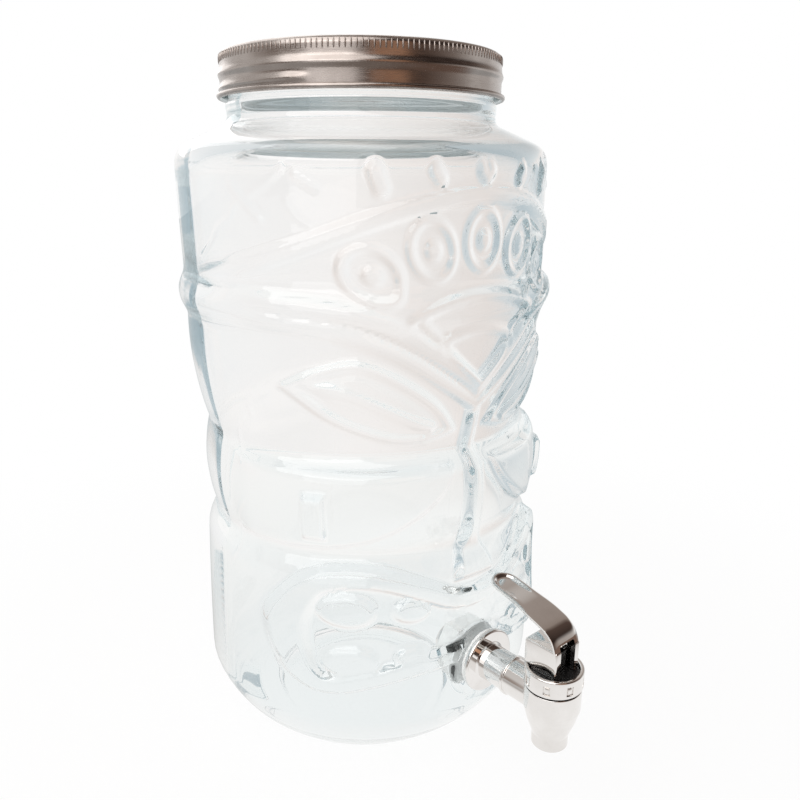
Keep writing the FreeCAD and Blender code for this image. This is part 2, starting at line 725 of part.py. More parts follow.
def cup_inside():
    """Bores of the cup: mouth for the bonnet, valve chamber, seat and outlet."""
    end = TAP_HEIGHT - CUP_SKIRT - NOZZLE_TAPER - NOZZLE_TIP
    step = (Z_SEAT + end) / 2
    points = [at(0, end), at(NOZZLE_BORE, end), at(NOZZLE_BORE, step), at(SEAT_BORE, step)]
    points += [at(SEAT_BORE, Z_SEAT), at(CHAMBER_RADIUS, Z_SEAT), at(CHAMBER_RADIUS, Z_LEDGE)]
    points += [at(MOUTH_RADIUS, Z_LEDGE), at(MOUTH_RADIUS, Z_CUP_RIM), at(0, Z_CUP_RIM)]
    return spin(polygon(points))


def tap_outer_washer():
    """Washer between the flange and the flat on the glass."""
    return to_front(ring(WASHER_RADIUS, SHANK_RADIUS + WASHER_FIT, TAP_FACE, FLANGE_BACK), TAP_HEIGHT)


def tap_inner_washer():
    """Washer inside the jar, shaped to the round wall."""
    blank = ring(WASHER_RADIUS, SHANK_RADIUS + WASHER_FIT, TAP_INNER_FACE, BELLY_RADIUS)
    return to_front(blank, TAP_HEIGHT).common(jar_cavity())


def tap_lock_nut():
    """Hexagon nut that draws the tap against the wall."""
    corner = NUT_FLATS / math.sqrt(3)
    points = [Vector(corner * math.cos(math.radians(60 * k)), corner * math.sin(math.radians(60 * k)), 0)
              for k in range(6)]
    nut = polygon(points).extrude(UP * NUT_THICK)
    nut = nut.cut(Part.makeCylinder(SHANK_RADIUS + NUT_FIT, NUT_THICK))
    nut.translate(at(0, TAP_INNER_FACE - NUT_THICK))
    return to_front(nut, TAP_HEIGHT)


def tap_bonnet():
    """Cover disc in the mouth of the cup, which guides the stem."""
    disc = ring(MOUTH_RADIUS - BONNET_FIT, STEM_RADIUS + STEM_FIT, Z_BONNET, Z_CUP_RIM - BONNET_RECESS)
    return to_cup(disc)


def bonnet_seal():
    """Flat sealing ring between the bonnet and the ledge."""
    return to_cup(ring(MOUTH_RADIUS - BONNET_FIT, CHAMBER_RADIUS + BONNET_FIT, Z_LEDGE, Z_BONNET))


def valve_stem():
    """Stem with a spring collar and a flat head for the lever pin."""
    rod = Part.makeCylinder(STEM_RADIUS, Z_PIN - Z_SEAT - SEAT_CUP_THICK, at(0, Z_SEAT + SEAT_CUP_THICK))
    collar = Part.makeCylinder(STEM_COLLAR_RADIUS, STEM_COLLAR_THICK, at(0, Z_COLLAR))
    top = Z_PIN + STEM_HEAD_TOP
    low = Z_FOOT
    head = Part.makeBox(STEM_HEAD_WIDTH, STEM_HEAD_DEPTH, top - low,
                        Vector(-STEM_HEAD_WIDTH / 2, -STEM_HEAD_DEPTH / 2, low))
    eye = Part.makeCylinder(PIN_RADIUS, STEM_HEAD_WIDTH, Vector(-STEM_HEAD_WIDTH / 2, 0, Z_PIN), ACROSS)
    return to_cup(rod.multiFuse([collar, head]).cut(eye).removeSplitter())


def valve_seat_cup():
    """Soft plug on the stem's lower end, which closes the seat."""
    plug = Z_SEAT + SEAT_CUP_THICK
    points = [at(0, Z_SEAT), at(SEAT_CUP_RADIUS, Z_SEAT), at(SEAT_CUP_RADIUS, plug)]
    points += [at(SEAT_CUP_SLEEVE, plug), at(SEAT_CUP_SLEEVE, Z_COLLAR)]
    points += [at(STEM_RADIUS, Z_COLLAR), at(STEM_RADIUS, plug), at(0, plug)]
    return to_cup(spin(polygon(points)))


def spring_point(turns, low, climb):
    """Point of the coil after a number of turns."""
    angle = 2 * math.pi * turns
    return Vector(SPRING_RADIUS * math.cos(angle), SPRING_RADIUS * math.sin(angle), low + climb * turns)


def valve_spring():
    """Coil between the stem collar and the bonnet, one unbroken wire."""
    low = Z_COLLAR + STEM_COLLAR_THICK + SPRING_WIRE / 2 + SPRING_GAP
    high = Z_BONNET - SPRING_WIRE / 2 - SPRING_GAP
    climb = (high - low) / SPRING_TURNS
    steps = 4
    arcs = []
    for index in range(SPRING_TURNS * steps):
        start = index / steps
        arcs.append(arc(spring_point(start, low, climb), spring_point(start + 0.5 / steps, low, climb),
                        spring_point(start + 1 / steps, low, climb)))
    path = Part.Wire(arcs)
    start = arcs[0].valueAt(arcs[0].FirstParameter)
    heading = arcs[0].tangentAt(arcs[0].FirstParameter)
    section = Part.Wire([Part.Circle(start, heading, SPRING_WIRE / 2).toShape()])
    coil = path.makePipeShell([section], True, False)
    print("spring: least gap between turns %.2f mm" % (climb - SPRING_WIRE))
    return to_cup(coil)


def lever_pin():
    """Pin through the stem head and both cheeks of the lever."""
    return to_cup(Part.makeCylinder(PIN_RADIUS, PIN_LENGTH, Vector(-PIN_LENGTH / 2, 0, Z_PIN), ACROSS))


def lever_outline(inset):
    """Side view edges of the plate and arm, from the toe up and back to the pad's tip."""
    toe = Vector(0, -(LEVER_TOE - inset), Z_FOOT)
    knee = Vector(0, -(LEVER_TOE - inset), Z_FOOT + LEVER_PLATE_HEIGHT)
    bend = Vector(0, LEVER_BEND_REACH - LEVER_TOE, Z_FOOT + LEVER_BEND_HEIGHT - inset)
    crown = (knee + bend) / 2 + Vector(0, -1, 1) * (LEVER_BEND_BULGE * math.sqrt(0.5))
    tip = Vector(0, LEVER_PAD_REACH, Z_FOOT + LEVER_PAD_HEIGHT - inset)
    sag = (bend + tip) / 2 + UP * LEVER_PAD_SAG
    return [line(toe, knee), arc(knee, crown, bend), arc(bend, sag, tip)]


def tap_lever():
    """Lever: plate and arm, a hollow foot with a window in front, and a dished pad."""
    half = LEVER_WIDTH / 2
    outer = lever_outline(0)
    inner = lever_outline(LEVER_SHELL)
    ends = [line(outer[-1].Vertexes[-1].Point, inner[-1].Vertexes[-1].Point),
            line(inner[0].Vertexes[0].Point, outer[0].Vertexes[0].Point)]
    side = face_of(outer + ends[:1] + inner[::-1] + ends[1:])
    side.translate(Vector(-half, 0, 0))
    arm = side.extrude(ACROSS * LEVER_WIDTH)
    arm = arm.common(lever_plan(half))
    foot = Part.makeBox(LEVER_WIDTH, LEVER_HEEL + LEVER_TOE, LEVER_FOOT_HEIGHT,
                        Vector(-half, -LEVER_TOE, Z_FOOT))
    foot = foot.common(Part.makeCylinder(MOUTH_RADIUS - LEVER_RIM_GAP, LEVER_FOOT_HEIGHT, at(0, Z_FOOT)))
    inside = LEVER_WIDTH - 2 * LEVER_CHEEK
    hollow = Part.makeBox(inside, LEVER_HEEL + LEVER_TOE - LEVER_SHELL, LEVER_FOOT_HEIGHT - LEVER_SHELL,
                          Vector(-inside / 2, -LEVER_TOE, Z_FOOT))
    window = Part.makeBox(inside, 2 * LEVER_SHELL, LEVER_WINDOW_TOP,
                          Vector(-inside / 2, -LEVER_TOE - LEVER_SHELL / 2, Z_FOOT))
    depth = PIN_LENGTH + 2 * PIN_FIT
    hole = Part.makeCylinder(PIN_RADIUS + PIN_FIT, depth, Vector(-depth / 2, 0, Z_PIN), ACROSS)
    body = arm.fuse(foot).cut(hollow).cut(window).cut(hole)
    return to_cup(body.cut(pad_dish()).removeSplitter())


def lever_plan(half):
    """Plan outline of the lever, round at the pad's tip."""
    round_place = LEVER_PAD_REACH - half
    front_place = -LEVER_TOE
    height = LEVER_PAD_HEIGHT + LEVER_PAD_SAG + LEVER_SHELL
    front_left = Vector(-half, front_place, Z_FOOT)
    front_right = Vector(half, front_place, Z_FOOT)
    round_right = Vector(half, round_place, Z_FOOT)
    round_left = Vector(-half, round_place, Z_FOOT)
    tip = Vector(0, LEVER_PAD_REACH, Z_FOOT)
    outline = face_of([
        line(front_left, front_right),
        line(front_right, round_right),
        arc(round_right, tip, round_left),
        line(round_left, front_left),
    ])
    return outline.extrude(UP * height)


def pad_dish():
    """Ball that hollows the pad for a fingertip, square to the pad's slope."""
    arm = lever_outline(0)[-1]
    place = arm.LastParameter - PAD_DISH_PLACE / arm.Curve.Radius
    along = arm.tangentAt(place)
    outwards = Vector(0, -along.z, along.y)
    centre = arm.valueAt(place) + outwards * (PAD_DISH_RADIUS - PAD_DISH_DEPTH)
    return Part.makeSphere(PAD_DISH_RADIUS, centre)


PIECES = {
    "glass_jar": glass_jar,
    "lid_cap": lid_cap,
    "lid_liner": lid_liner,
    "tap_body": tap_body,
    "tap_outer_washer": tap_outer_washer,
    "tap_inner_washer": tap_inner_washer,
    "tap_lock_nut": tap_lock_nut,
    "tap_bonnet": tap_bonnet,
    "bonnet_seal": bonnet_seal,
    "valve_stem": valve_stem,
    "valve_seat_cup": valve_seat_cup,
    "valve_spring": valve_spring,
    "lever_pin": lever_pin,
    "tap_lever": tap_lever,
}

os.makedirs("parts", exist_ok=True)
for name, make in PIECES.items():
    piece = make()
    box = piece.BoundBox
    print("%-18s valid %s solids %d volume %.1f  x %.1f..%.1f y %.1f..%.1f z %.1f..%.1f" % (
        name, piece.isValid(), len(piece.Solids), piece.Volume,
        box.XMin, box.XMax, box.YMin, box.YMax, box.ZMin, box.ZMax))
    piece.exportStep("parts/%s.step" % name)
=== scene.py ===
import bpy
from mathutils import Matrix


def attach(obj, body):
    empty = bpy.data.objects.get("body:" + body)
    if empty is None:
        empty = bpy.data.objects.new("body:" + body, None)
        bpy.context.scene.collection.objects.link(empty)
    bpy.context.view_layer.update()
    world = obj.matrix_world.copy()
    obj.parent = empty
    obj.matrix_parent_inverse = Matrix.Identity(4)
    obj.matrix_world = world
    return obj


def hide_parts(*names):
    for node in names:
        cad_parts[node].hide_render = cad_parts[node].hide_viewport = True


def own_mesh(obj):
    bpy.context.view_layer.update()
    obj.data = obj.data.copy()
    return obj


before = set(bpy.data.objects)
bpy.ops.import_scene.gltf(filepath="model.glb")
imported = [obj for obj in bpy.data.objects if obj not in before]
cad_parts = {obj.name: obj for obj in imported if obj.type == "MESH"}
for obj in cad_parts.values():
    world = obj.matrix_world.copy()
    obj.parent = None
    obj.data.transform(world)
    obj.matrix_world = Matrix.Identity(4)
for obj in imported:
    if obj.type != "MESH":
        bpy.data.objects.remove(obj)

"""Glass drinks dispenser with a moulded mask, a tin screw lid and a chrome lever tap.

The frame has its origin at the middle of the foot, +Z up, and the mask and tap facing -Y. Meshes are in metres;
the sizes in the classes are in millimetres.
"""

import logging
import math
from dataclasses import dataclass, field
from enum import Enum
from typing import Iterable, Sequence

import bmesh
import bpy
import numpy as np
from mathutils import Matrix, Vector

LOG = logging.getLogger("dispenser")
MM = 0.001
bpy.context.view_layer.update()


class Body(Enum):
    """Bodies of the frame that new pieces ride on."""

    JAR = "jar"
    LID = "lid"
    LEVER = "lever"


class Slot(Enum):
    """Material slots of the record."""

    GLASS = "clear_glass"
    TIN = "brushed_tin"
    CHROME = "chrome_plate"
    STEEL = "spring_steel"


# Colours and shader nodes


def linear(code: str) -> tuple[float, float, float, float]:
    """Turn an sRGB hex colour into linear light.

    Args:
        code: Six hex digits, with or without a leading mark.

    Returns:
        Red, green, blue and an alpha of one.
    """
    digits = code.lstrip("#")
    parts = [int(digits[i:i + 2], 16) / 255 for i in (0, 2, 4)]
    light = [p / 12.92 if p <= 0.04045 else ((p + 0.055) / 1.055) ** 2.4 for p in parts]
    return (light[0], light[1], light[2], 1.0)


def node(tree: bpy.types.NodeTree, kind: str, links: dict | None = None, values: dict | None = None,
         stops: Sequence[tuple[float, tuple]] = (), **settings: object) -> bpy.types.Node:
    """Add one shader or geometry node with its settings, values and incoming links.

    Args:
        tree: Node tree to add to.
        kind: The node's type name.
        links: Input name or index to the socket that feeds it, or to a node whose first open output does.
        values: Input name or index to the constant set on it.
        stops: Places from 0 to 1 with their linear colours, for a node that has a colour ramp.
        **settings: Properties of the node itself.

    Returns:
        The new node.
    """
    made = tree.nodes.new(kind)
    for name, value in settings.items():
        setattr(made, name, value)
    for name, value in (values or {}).items():
        made.inputs[name].default_value = value
    for name, source in (links or {}).items():
        if isinstance(source, bpy.types.Node):
            source = next(socket for socket in source.outputs if socket.enabled)
        tree.links.new(source, made.inputs[name])
    if stops:
        elements = made.color_ramp.elements
        while len(elements) < len(stops):
            elements.new(0.5)
        for element, (place, colour) in zip(elements, stops):
            element.position = place
            element.color = colour
    return made


def fresh_material(name: str) -> tuple[bpy.types.Material, bpy.types.NodeTree]:
    """Make an empty node material.

    Args:
        name: Name of the real material.

    Returns:
        The material and its tree.
    """
    material = bpy.data.materials.new(name)
    material.use_nodes = True
    material.node_tree.nodes.clear()
    return material, material.node_tree


@dataclass(frozen=True)
class GlassFinish:
    """Clear pressed glass: almost no colour in a thin wall, a pale blue where it is thick, soft ripples."""

    tint: str = "ffffff"
    depth_colour: tuple[float, float, float] = (0.62, 0.79, 0.84)
    depth_density: float = 1.4
    index: float = 1.5
    ripple: float = 0.00010
    ripple_size: float = 0.030

    def material(self) -> bpy.types.Material:
        """Build the glass, which lets lamps through.

        Returns:
            The material.
        """
        material, tree = fresh_material("pressed_clear_glass")
        place = node(tree, "ShaderNodeTexCoord").outputs["Object"]
        ripples = node(tree, "ShaderNodeTexNoise", {"Vector": place},
                       {"Scale": 1 / self.ripple_size, "Detail": 2.0, "Roughness": 0.4})
        normal = node(tree, "ShaderNodeBump", {"Height": ripples}, {"Strength": 0.35, "Distance": self.ripple})
        glass = node(tree, "ShaderNodeBsdfPrincipled", {"Normal": normal},
                     {"Base Color": linear(self.tint), "Roughness": 0.0, "IOR": self.index, "Transmission Weight": 1.0})
        clear = node(tree, "ShaderNodeBsdfTransparent", values={"Color": (0.95, 0.96, 0.96, 1.0)})
        path = node(tree, "ShaderNodeLightPath")
        mixed = node(tree, "ShaderNodeMixShader", {0: path.outputs["Is Shadow Ray"], 1: glass, 2: clear})
        depth = node(tree, "ShaderNodeVolumeAbsorption",
                     values={"Color": (*self.depth_colour, 1.0), "Density": self.depth_density})
        node(tree, "ShaderNodeOutputMaterial", {"Surface": mixed, "Volume": depth})
        return material


@dataclass(frozen=True)
class MetalFinish:
    """A metal with a fine grain, cloudy wear and an uneven polish.

    The grain runs round the vertical axis where brushed is set, as on a spun lid.
    """

    name: str
    colour: str
    worn: str
    roughness: float
    spread: float
    grain: float
    grain_size: float
    cloud_size: float
    brushed: bool = False

    def material(self) -> bpy.types.Material:
        """Build the metal.

        Returns:
            The material.
        """
        material, tree = fresh_material(self.name)
        place = node(tree, "ShaderNodeTexCoord").outputs["Object"]
        clouds = node(tree, "ShaderNodeTexNoise", {"Vector": place},
                      {"Scale": 1 / self.cloud_size, "Detail": 5.0, "Roughness": 0.6})
        grain_place = self.round_axis(tree, place) if self.brushed else place
        grain = node(tree, "ShaderNodeTexNoise", {"Vector": grain_place},
                     {"Scale": 1 / self.grain_size, "Detail": 3.0, "Roughness": 0.55})
        colour = node(tree, "ShaderNodeValToRGB", {"Fac": clouds}, stops=[
            (0.38, linear(self.colour)), (0.72, linear(self.worn))])
        rough = node(tree, "ShaderNodeMapRange", {"Value": grain},
                     {"From Min": 0.3, "From Max": 0.7, "To Min": max(self.roughness - self.spread, 0.0),
                      "To Max": self.roughness + self.spread})
        normal = node(tree, "ShaderNodeBump", {"Height": grain}, {"Strength": 0.5, "Distance": self.grain})
        metal = node(tree, "ShaderNodeBsdfPrincipled", {"Base Color": colour, "Roughness": rough, "Normal": normal},
                     {"Metallic": 1.0})
        node(tree, "ShaderNodeOutputMaterial", {"Surface": metal})
        return material

    def round_axis(self, tree: bpy.types.NodeTree, place: bpy.types.NodeSocket) -> bpy.types.NodeSocket:
        """Unroll a place into turn, height and radius, so that grain stretches round the axis.

        Args:
            tree: Node tree to add to.
            place: Object coordinates.

        Returns:
            The unrolled vector.
        """
        split = node(tree, "ShaderNodeSeparateXYZ", {"Vector": place})
        turn = node(tree, "ShaderNodeMath", {0: split.outputs["X"], 1: split.outputs["Y"]}, operation="ARCTAN2")
        slow = node(tree, "ShaderNodeMath", {0: turn}, {1: 0.004}, operation="MULTIPLY")
        level = node(tree, "ShaderNodeVectorMath", {0: place}, {1: (1.0, 1.0, 0.0)}, operation="MULTIPLY")
        radius = node(tree, "ShaderNodeVectorMath", {0: level}, operation="LENGTH")
        joined = node(tree, "ShaderNodeCombineXYZ", {"X": slow, "Y": split.outputs["Z"], "Z": radius})
        return joined.outputs["Vector"]


@dataclass(frozen=True)
class MouldedFinish:
    """A moulded plastic or rubber: even colour with slight clouds, a fine skin texture and a soft gloss."""

    name: str
    colour: str
    shade: str
    roughness: float
    skin: float = 0.00002
    skin_size: float = 0.0006

    def material(self) -> bpy.types.Material:
        """Build the plastic.

        Returns:
            The material.
        """
        material, tree = fresh_material(self.name)
        place = node(tree, "ShaderNodeTexCoord").outputs["Object"]
        clouds = node(tree, "ShaderNodeTexNoise", {"Vector": place}, {"Scale": 120.0, "Detail": 4.0})
        skin = node(tree, "ShaderNodeTexNoise", {"Vector": place}, {"Scale": 1 / self.skin_size, "Detail": 2.0})
        colour = node(tree, "ShaderNodeValToRGB", {"Fac": clouds}, stops=[
            (0.35, linear(self.shade)), (0.65, linear(self.colour))])
        rough = node(tree, "ShaderNodeMapRange", {"Value": skin},
                     {"To Min": self.roughness * 0.8, "To Max": self.roughness * 1.2})
        normal = node(tree, "ShaderNodeBump", {"Height": skin}, {"Strength": 0.4, "Distance": self.skin})
        plastic = node(tree, "ShaderNodeBsdfPrincipled", {"Base Color": colour, "Roughness": rough, "Normal": normal})
        node(tree, "ShaderNodeOutputMaterial", {"Surface": plastic})
        return material


# What each finish gives the eye. Grain, skin and fibre are drawn coarser than on the real surfaces, because the
# real ones are too fine to show at the camera's distance.

# Pressed glass bends the white studio into bright and slate bands along the relief.
GLASS = GlassFinish()
# Brushed tinplate draws its highlights out into a dull sheen that runs round the lid.
TIN = MetalFinish("brushed_tinplate", "b7afaa", "988e88", 0.25, 0.06, 0.00002, 0.00035, 0.030, brushed=True)
# Chrome plate mirrors the room almost sharply, with the slight haze of handling.
CHROME = MetalFinish("chrome_plated_brass", "efedeb", "e3e0dd", 0.045, 0.015, 0.000004, 0.004, 0.020)
# The satin nut stays pale and without highlights behind the glass.
SATIN = MetalFinish("satin_chromed_nut", "f4f4f3", "eaeae9", 0.80, 0.08, 0.00001, 0.0006, 0.006)
# Spring wire and pin give small soft glints.
STEEL = MetalFinish("stainless_spring_wire", "b9bbbc", "9a9c9d", 0.22, 0.06, 0.00001, 0.0004, 0.004)
# Milky silicone shows as a soft pale ring between metal and glass.
SILICONE = MouldedFinish("milky_silicone_rubber", "f8f9f8", "f0f2f1", 0.4)
# The foamed liner is matt and off-white.
LINER = MouldedFinish("white_foamed_liner", "f0efeb", "e3e1db", 0.6, skin=0.00005, skin_size=0.0009)
# Painted light: the inside of the lid, which lies in shade, gets a pale tin so that the neck under it looks light.
LID_INSIDE_PAINTED_LIGHT = MetalFinish("lid_inside_painted_light_tin", "e6e9e9", "dbdfdf", 0.30, 0.05, 0.00001, 0.0006, 0.020)
# Black acetal shows dark with a faint sheen on the bonnet and stem; on the groove under the tap's snap band it is
# painted shade.
BLACK_ACETAL_AND_GAP_SHADE = MouldedFinish("black_acetal_and_gap_shade", "1b1b1c", "121213", 0.35)


# Mesh helpers


def linked(name: str, data: bpy.types.ID) -> bpy.types.Object:
    """Make an object and put it in the scene.

    Args:
        name: Name of the object.
        data: Its mesh, lamp or camera.

    Returns:
        The object.
    """
    made = bpy.data.objects.new(name, data)
    bpy.context.scene.collection.objects.link(made)
    return made


def new_piece(name: str, verts: Iterable, faces: Iterable, smooth_angle: float = 40.0) -> bpy.types.Object:
    """Make an object from points and faces, with its faces turned outwards.

    Args:
        name: Piece name.
        verts: Points in metres, in the row's frame.
        faces: Runs of point numbers.
        smooth_angle: Edges sharper than this, in degrees, stay sharp.

    Returns:
        The new object.
    """
    mesh = bpy.data.meshes.new(name)
    mesh.from_pydata([tuple(v) for v in verts], [], [tuple(f) for f in faces])
    tidy_mesh(mesh, smooth_angle)
    return linked(name, mesh)


def tidy_mesh(mesh: bpy.types.Mesh, smooth_angle: float) -> None:
    """Merge doubles, turn faces outwards and shade smooth up to an angle.

    Args:
        mesh: Mesh to tidy.
        smooth_angle: Edges sharper than this, in degrees, stay sharp.
    """
    work = bmesh.new()
    work.from_mesh(mesh)
    bmesh.ops.remove_doubles(work, verts=work.verts, dist=1e-6)
    bmesh.ops.dissolve_degenerate(work, edges=work.edges, dist=1e-7)
    bmesh.ops.recalc_face_normals(work, faces=work.faces)
    work.to_mesh(mesh)
    work.free()
    mesh.shade_smooth()
    mesh.set_sharp_from_angle(angle=math.radians(smooth_angle))


def lathe(name: str, outline: Sequence[tuple[float, float]], segments: int, axis: Matrix = Matrix(),
          smooth_angle: float = 40.0) -> bpy.types.Object:
    """Turn a closed outline about an axis.

    Args:
        name: Piece name.
        outline: Radius and height pairs, in millimetres, round a closed section that may touch the axis.
        segments: Steps round the axis.
        axis: Place of the axis, which is Z before it.
        smooth_angle: Edges sharper than this, in degrees, stay sharp.

    Returns:
        The turned object.
    """
    rows = len(outline)
    verts = []
    for step in range(segments):
        turn = 2 * math.pi * step / segments
        for radius, height in outline:
            spot = Vector((radius * math.cos(turn), radius * math.sin(turn), height)) * MM
            verts.append(axis @ spot)
    faces = []
    for step in range(segments):
        here, there = step * rows, (step + 1) % segments * rows
        for row in range(rows):
            after = (row + 1) % rows
            faces.append((here + row, there + row, there + after, here + after))
    return new_piece(name, verts, faces, smooth_angle)


def forward_axis(height: float) -> Matrix:
    """Level axis that runs forward at a height in millimetres, for a piece turned about it."""
    return Matrix.Translation((0, 0, height * MM)) @ Matrix.Rotation(math.pi / 2, 4, "X")


def rounded(outline: Sequence[tuple[float, float, float]], steps: int = 5) -> list[tuple[float, float]]:
    """Round the corners of a closed section.

    Args:
        outline: Radius, height and corner radius, in millimetres.
        steps: Straight steps per rounded corner.

    Returns:
        The rounded section.
    """
    points = []
    count = len(outline)
    for index, (x, y, size) in enumerate(outline):
        here = Vector((x, y))
        before = Vector(outline[index - 1][:2]) - here
        after = Vector(outline[(index + 1) % count][:2]) - here
        if size <= 0 or before.length < 1e-6 or after.length < 1e-6:
            points.append((x, y))
            continue
        half = before.angle(after) / 2
        reach = min(size / max(math.tan(half), 1e-3), before.length * 0.49, after.length * 0.49)
        start, end = here + before.normalized() * reach, here + after.normalized() * reach
        for step in range(steps + 1):
            t = step / steps
            spot = start * (1 - t) ** 2 + here * 2 * t * (1 - t) + end * t ** 2
            points.append((spot.x, spot.y))
    return points


def bake(piece: bpy.types.Object) -> None:
    """Replace an object's mesh with what its modifiers make of it.

    Args:
        piece: Object with modifiers, which are then removed.
    """
    bpy.context.view_layer.update()
    graph = bpy.context.evaluated_depsgraph_get()
    mesh = bpy.data.meshes.new_from_object(piece.evaluated_get(graph))
    piece.modifiers.clear()
    old, piece.data = piece.data, mesh
    bpy.data.meshes.remove(old)


def combined(name: str, base: bpy.types.Object, others: Sequence[tuple[bpy.types.Object, str]],
             smooth_angle: float = 40.0) -> bpy.types.Object:
    """Join or cut solids with exact booleans and keep the result as one mesh.

    Args:
        name: Name of the result.
        base: First solid.
        others: Each further solid with UNION, DIFFERENCE or INTERSECT.
        smooth_angle: Edges sharper than this, in degrees, stay sharp.

    Returns:
        The combined object; the others are removed.
    """
    for other, operation in others:
        step = base.modifiers.new(operation, "BOOLEAN")
        step.operation = operation
        step.solver = "EXACT"
        step.object = other
    bake(base)
    for other, _ in others:
        bpy.data.objects.remove(other)
    base.name = base.data.name = name
    tidy_mesh(base.data, smooth_angle)
    return base


def tube(name: str, path: Sequence[Vector], radius: float, sides: int) -> bpy.types.Object:
    """Round wire along a path, with closed ends.

    Args:
        name: Piece name.
        path: Points in millimetres.
        radius: Wire radius in millimetres.
        sides: Steps round the wire.

    Returns:
        The wire.
    """
    verts, faces, last = [], [], len(path) - 1
    for index, spot in enumerate(path):
        along = (path[min(index + 1, last)] - path[max(index - 1, 0)]).normalized()
        side = along.cross(Vector((0, 0, 1))).normalized()
        up = side.cross(along)
        for step in range(sides):
            turn = 2 * math.pi * step / sides
            verts.append((spot + (side * math.cos(turn) + up * math.sin(turn)) * radius) * MM)
    for index in range(last):
        for step in range(sides):
            after = (step + 1) % sides
            here, there = index * sides, (index + 1) * sides
            faces.append((here + step, here + after, there + after, there + step))
    faces += [tuple(range(sides)), tuple(range(last * sides, (last + 1) * sides))]
    return new_piece(name, verts, faces)


def block(name: str, low: Sequence[float], high: Sequence[float], bevel: float, segments: int = 3) -> bpy.types.Object:
    """Make a box with rounded edges.

    Args:
        name: Piece name.
        low: Lowest corner in millimetres.
        high: Highest corner in millimetres.
        bevel: Edge radius in millimetres.
        segments: Steps in each rounded edge.

    Returns:
        The box.
    """
    work = bmesh.new()
    bmesh.ops.create_cube(work, size=1.0)
    for vert in work.verts:
        share = vert.co + Vector((0.5, 0.5, 0.5))
        vert.co = Vector([l + (h - l) * s for l, h, s in zip(Vector(low), Vector(high), share)]) * MM
    if bevel > 0:
        bmesh.ops.bevel(work, geom=work.edges[:], offset=bevel * MM, segments=segments, profile=0.5, affect="EDGES")
    mesh = bpy.data.meshes.new(name)
    work.to_mesh(mesh)
    work.free()
    return linked(name, mesh)


def settle(piece: bpy.types.Object, material: bpy.types.Material, body: Body, slot: Slot, *replaced: str) -> None:
    """Finish a piece: material, body and the solids it stands for.

    Args:
        piece: Finished object.
        material: Its material.
        body: Body it rides on.
        slot: Not used.
        *replaced: CAD nodes that it replaces.
    """
    piece.data.materials.clear()
    piece.data.materials.append(material)
    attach(piece, body.value)
    if replaced:
        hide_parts(*replaced)
    LOG.info("%s: %d faces on body %s", piece.name, len(piece.data.polygons), body.value)


def dress_node(name: str, material: bpy.types.Material) -> None:
    """Give a CAD node that keeps its shape a finished material.

    Args:
        name: Node name.
        material: Material for all its slots.
    """
    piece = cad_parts[name]
    if not piece.material_slots:
        piece.data.materials.append(material)
    for held in piece.material_slots:
        held.material = material
    LOG.info("%s: CAD shape kept", name)


# Glass jar


def smooth(low: float, high: float, value: np.ndarray) -> np.ndarray:
    """Soft step from 0 at low to 1 at high, for numbers or arrays."""
    t = np.clip((value - low) / (high - low), 0.0, 1.0)
    return t * t * (3 - 2 * t)


def bank(distance: np.ndarray, soft: float) -> np.ndarray:
    """Height share of a raised motif: 1 inside its outline, falling to 0 over a soft width outside."""
    return 1 - smooth(-soft * 0.5, soft * 0.5, distance)


def capsule(x: np.ndarray, z: np.ndarray, start: tuple, end: tuple, radius: float) -> np.ndarray:
    """Distance to a straight bar with round ends.

    Args:
        x: Places across, in millimetres.
        z: Heights, in millimetres.
        start: Across and height of one end.
        end: The same of the other end.
        radius: Half width of the bar.

    Returns:
        Distances, negative inside the bar.
    """
    ax, az, bx, bz = *start, *end
    px, pz, dx, dz = x - ax, z - az, bx - ax, bz - az
    t = np.clip((px * dx + pz * dz) / (dx * dx + dz * dz), 0.0, 1.0)
    return np.hypot(px - dx * t, pz - dz * t) - radius


def chain(x: np.ndarray, z: np.ndarray, points: Sequence[tuple], radius: float) -> np.ndarray:
    """Distance to a bent bar that follows a smooth curve through points."""
    path = through(points, 6)
    return np.minimum.reduce([capsule(x, z, a, b, radius) for a, b in zip(path, path[1:])])


def through(points: Sequence[tuple], steps: int) -> list[tuple]:
    """Points of a smooth curve through the given ones.

    Args:
        points: Points to pass.
        steps: Straight steps between two of them.

    Returns:
        The curve's points.
    """
    ends = [points[0], *points, points[-1]]
    path = []
    for a, b, c, d in zip(ends, ends[1:], ends[2:], ends[3:]):
        for step in range(steps):
            t = step / steps
            path.append(tuple(0.5 * (2 * q + (r - p) * t + (2 * p - 5 * q + 4 * r - s) * t * t
                                     + (3 * q - p - 3 * r + s) * t ** 3) for p, q, r, s in zip(a, b, c, d)))
    path.append(points[-1])
    return path


def inside(x: np.ndarray, z: np.ndarray, outline: Sequence[tuple]) -> np.ndarray:
    """Signed distance to a closed outline.

    Args:
        x: Places across, in millimetres.
        z: Heights, in millimetres.
        outline: Corners of the outline.

    Returns:
        Distances, negative inside it.
    """
    nearest = np.full(x.shape, 1e9)
    within = np.zeros(x.shape, bool)
    for (ax, az), (bx, bz) in zip(outline, [*outline[1:], outline[0]]):
        nearest = np.minimum(nearest, capsule(x, z, (ax, az), (bx, bz), 0.0))
        crosses = (az > z) != (bz > z)
        if bz != az:
            within ^= crosses & (x < (bx - ax) * (z - az) / (bz - az) + ax)
    return np.where(within, -nearest, nearest)


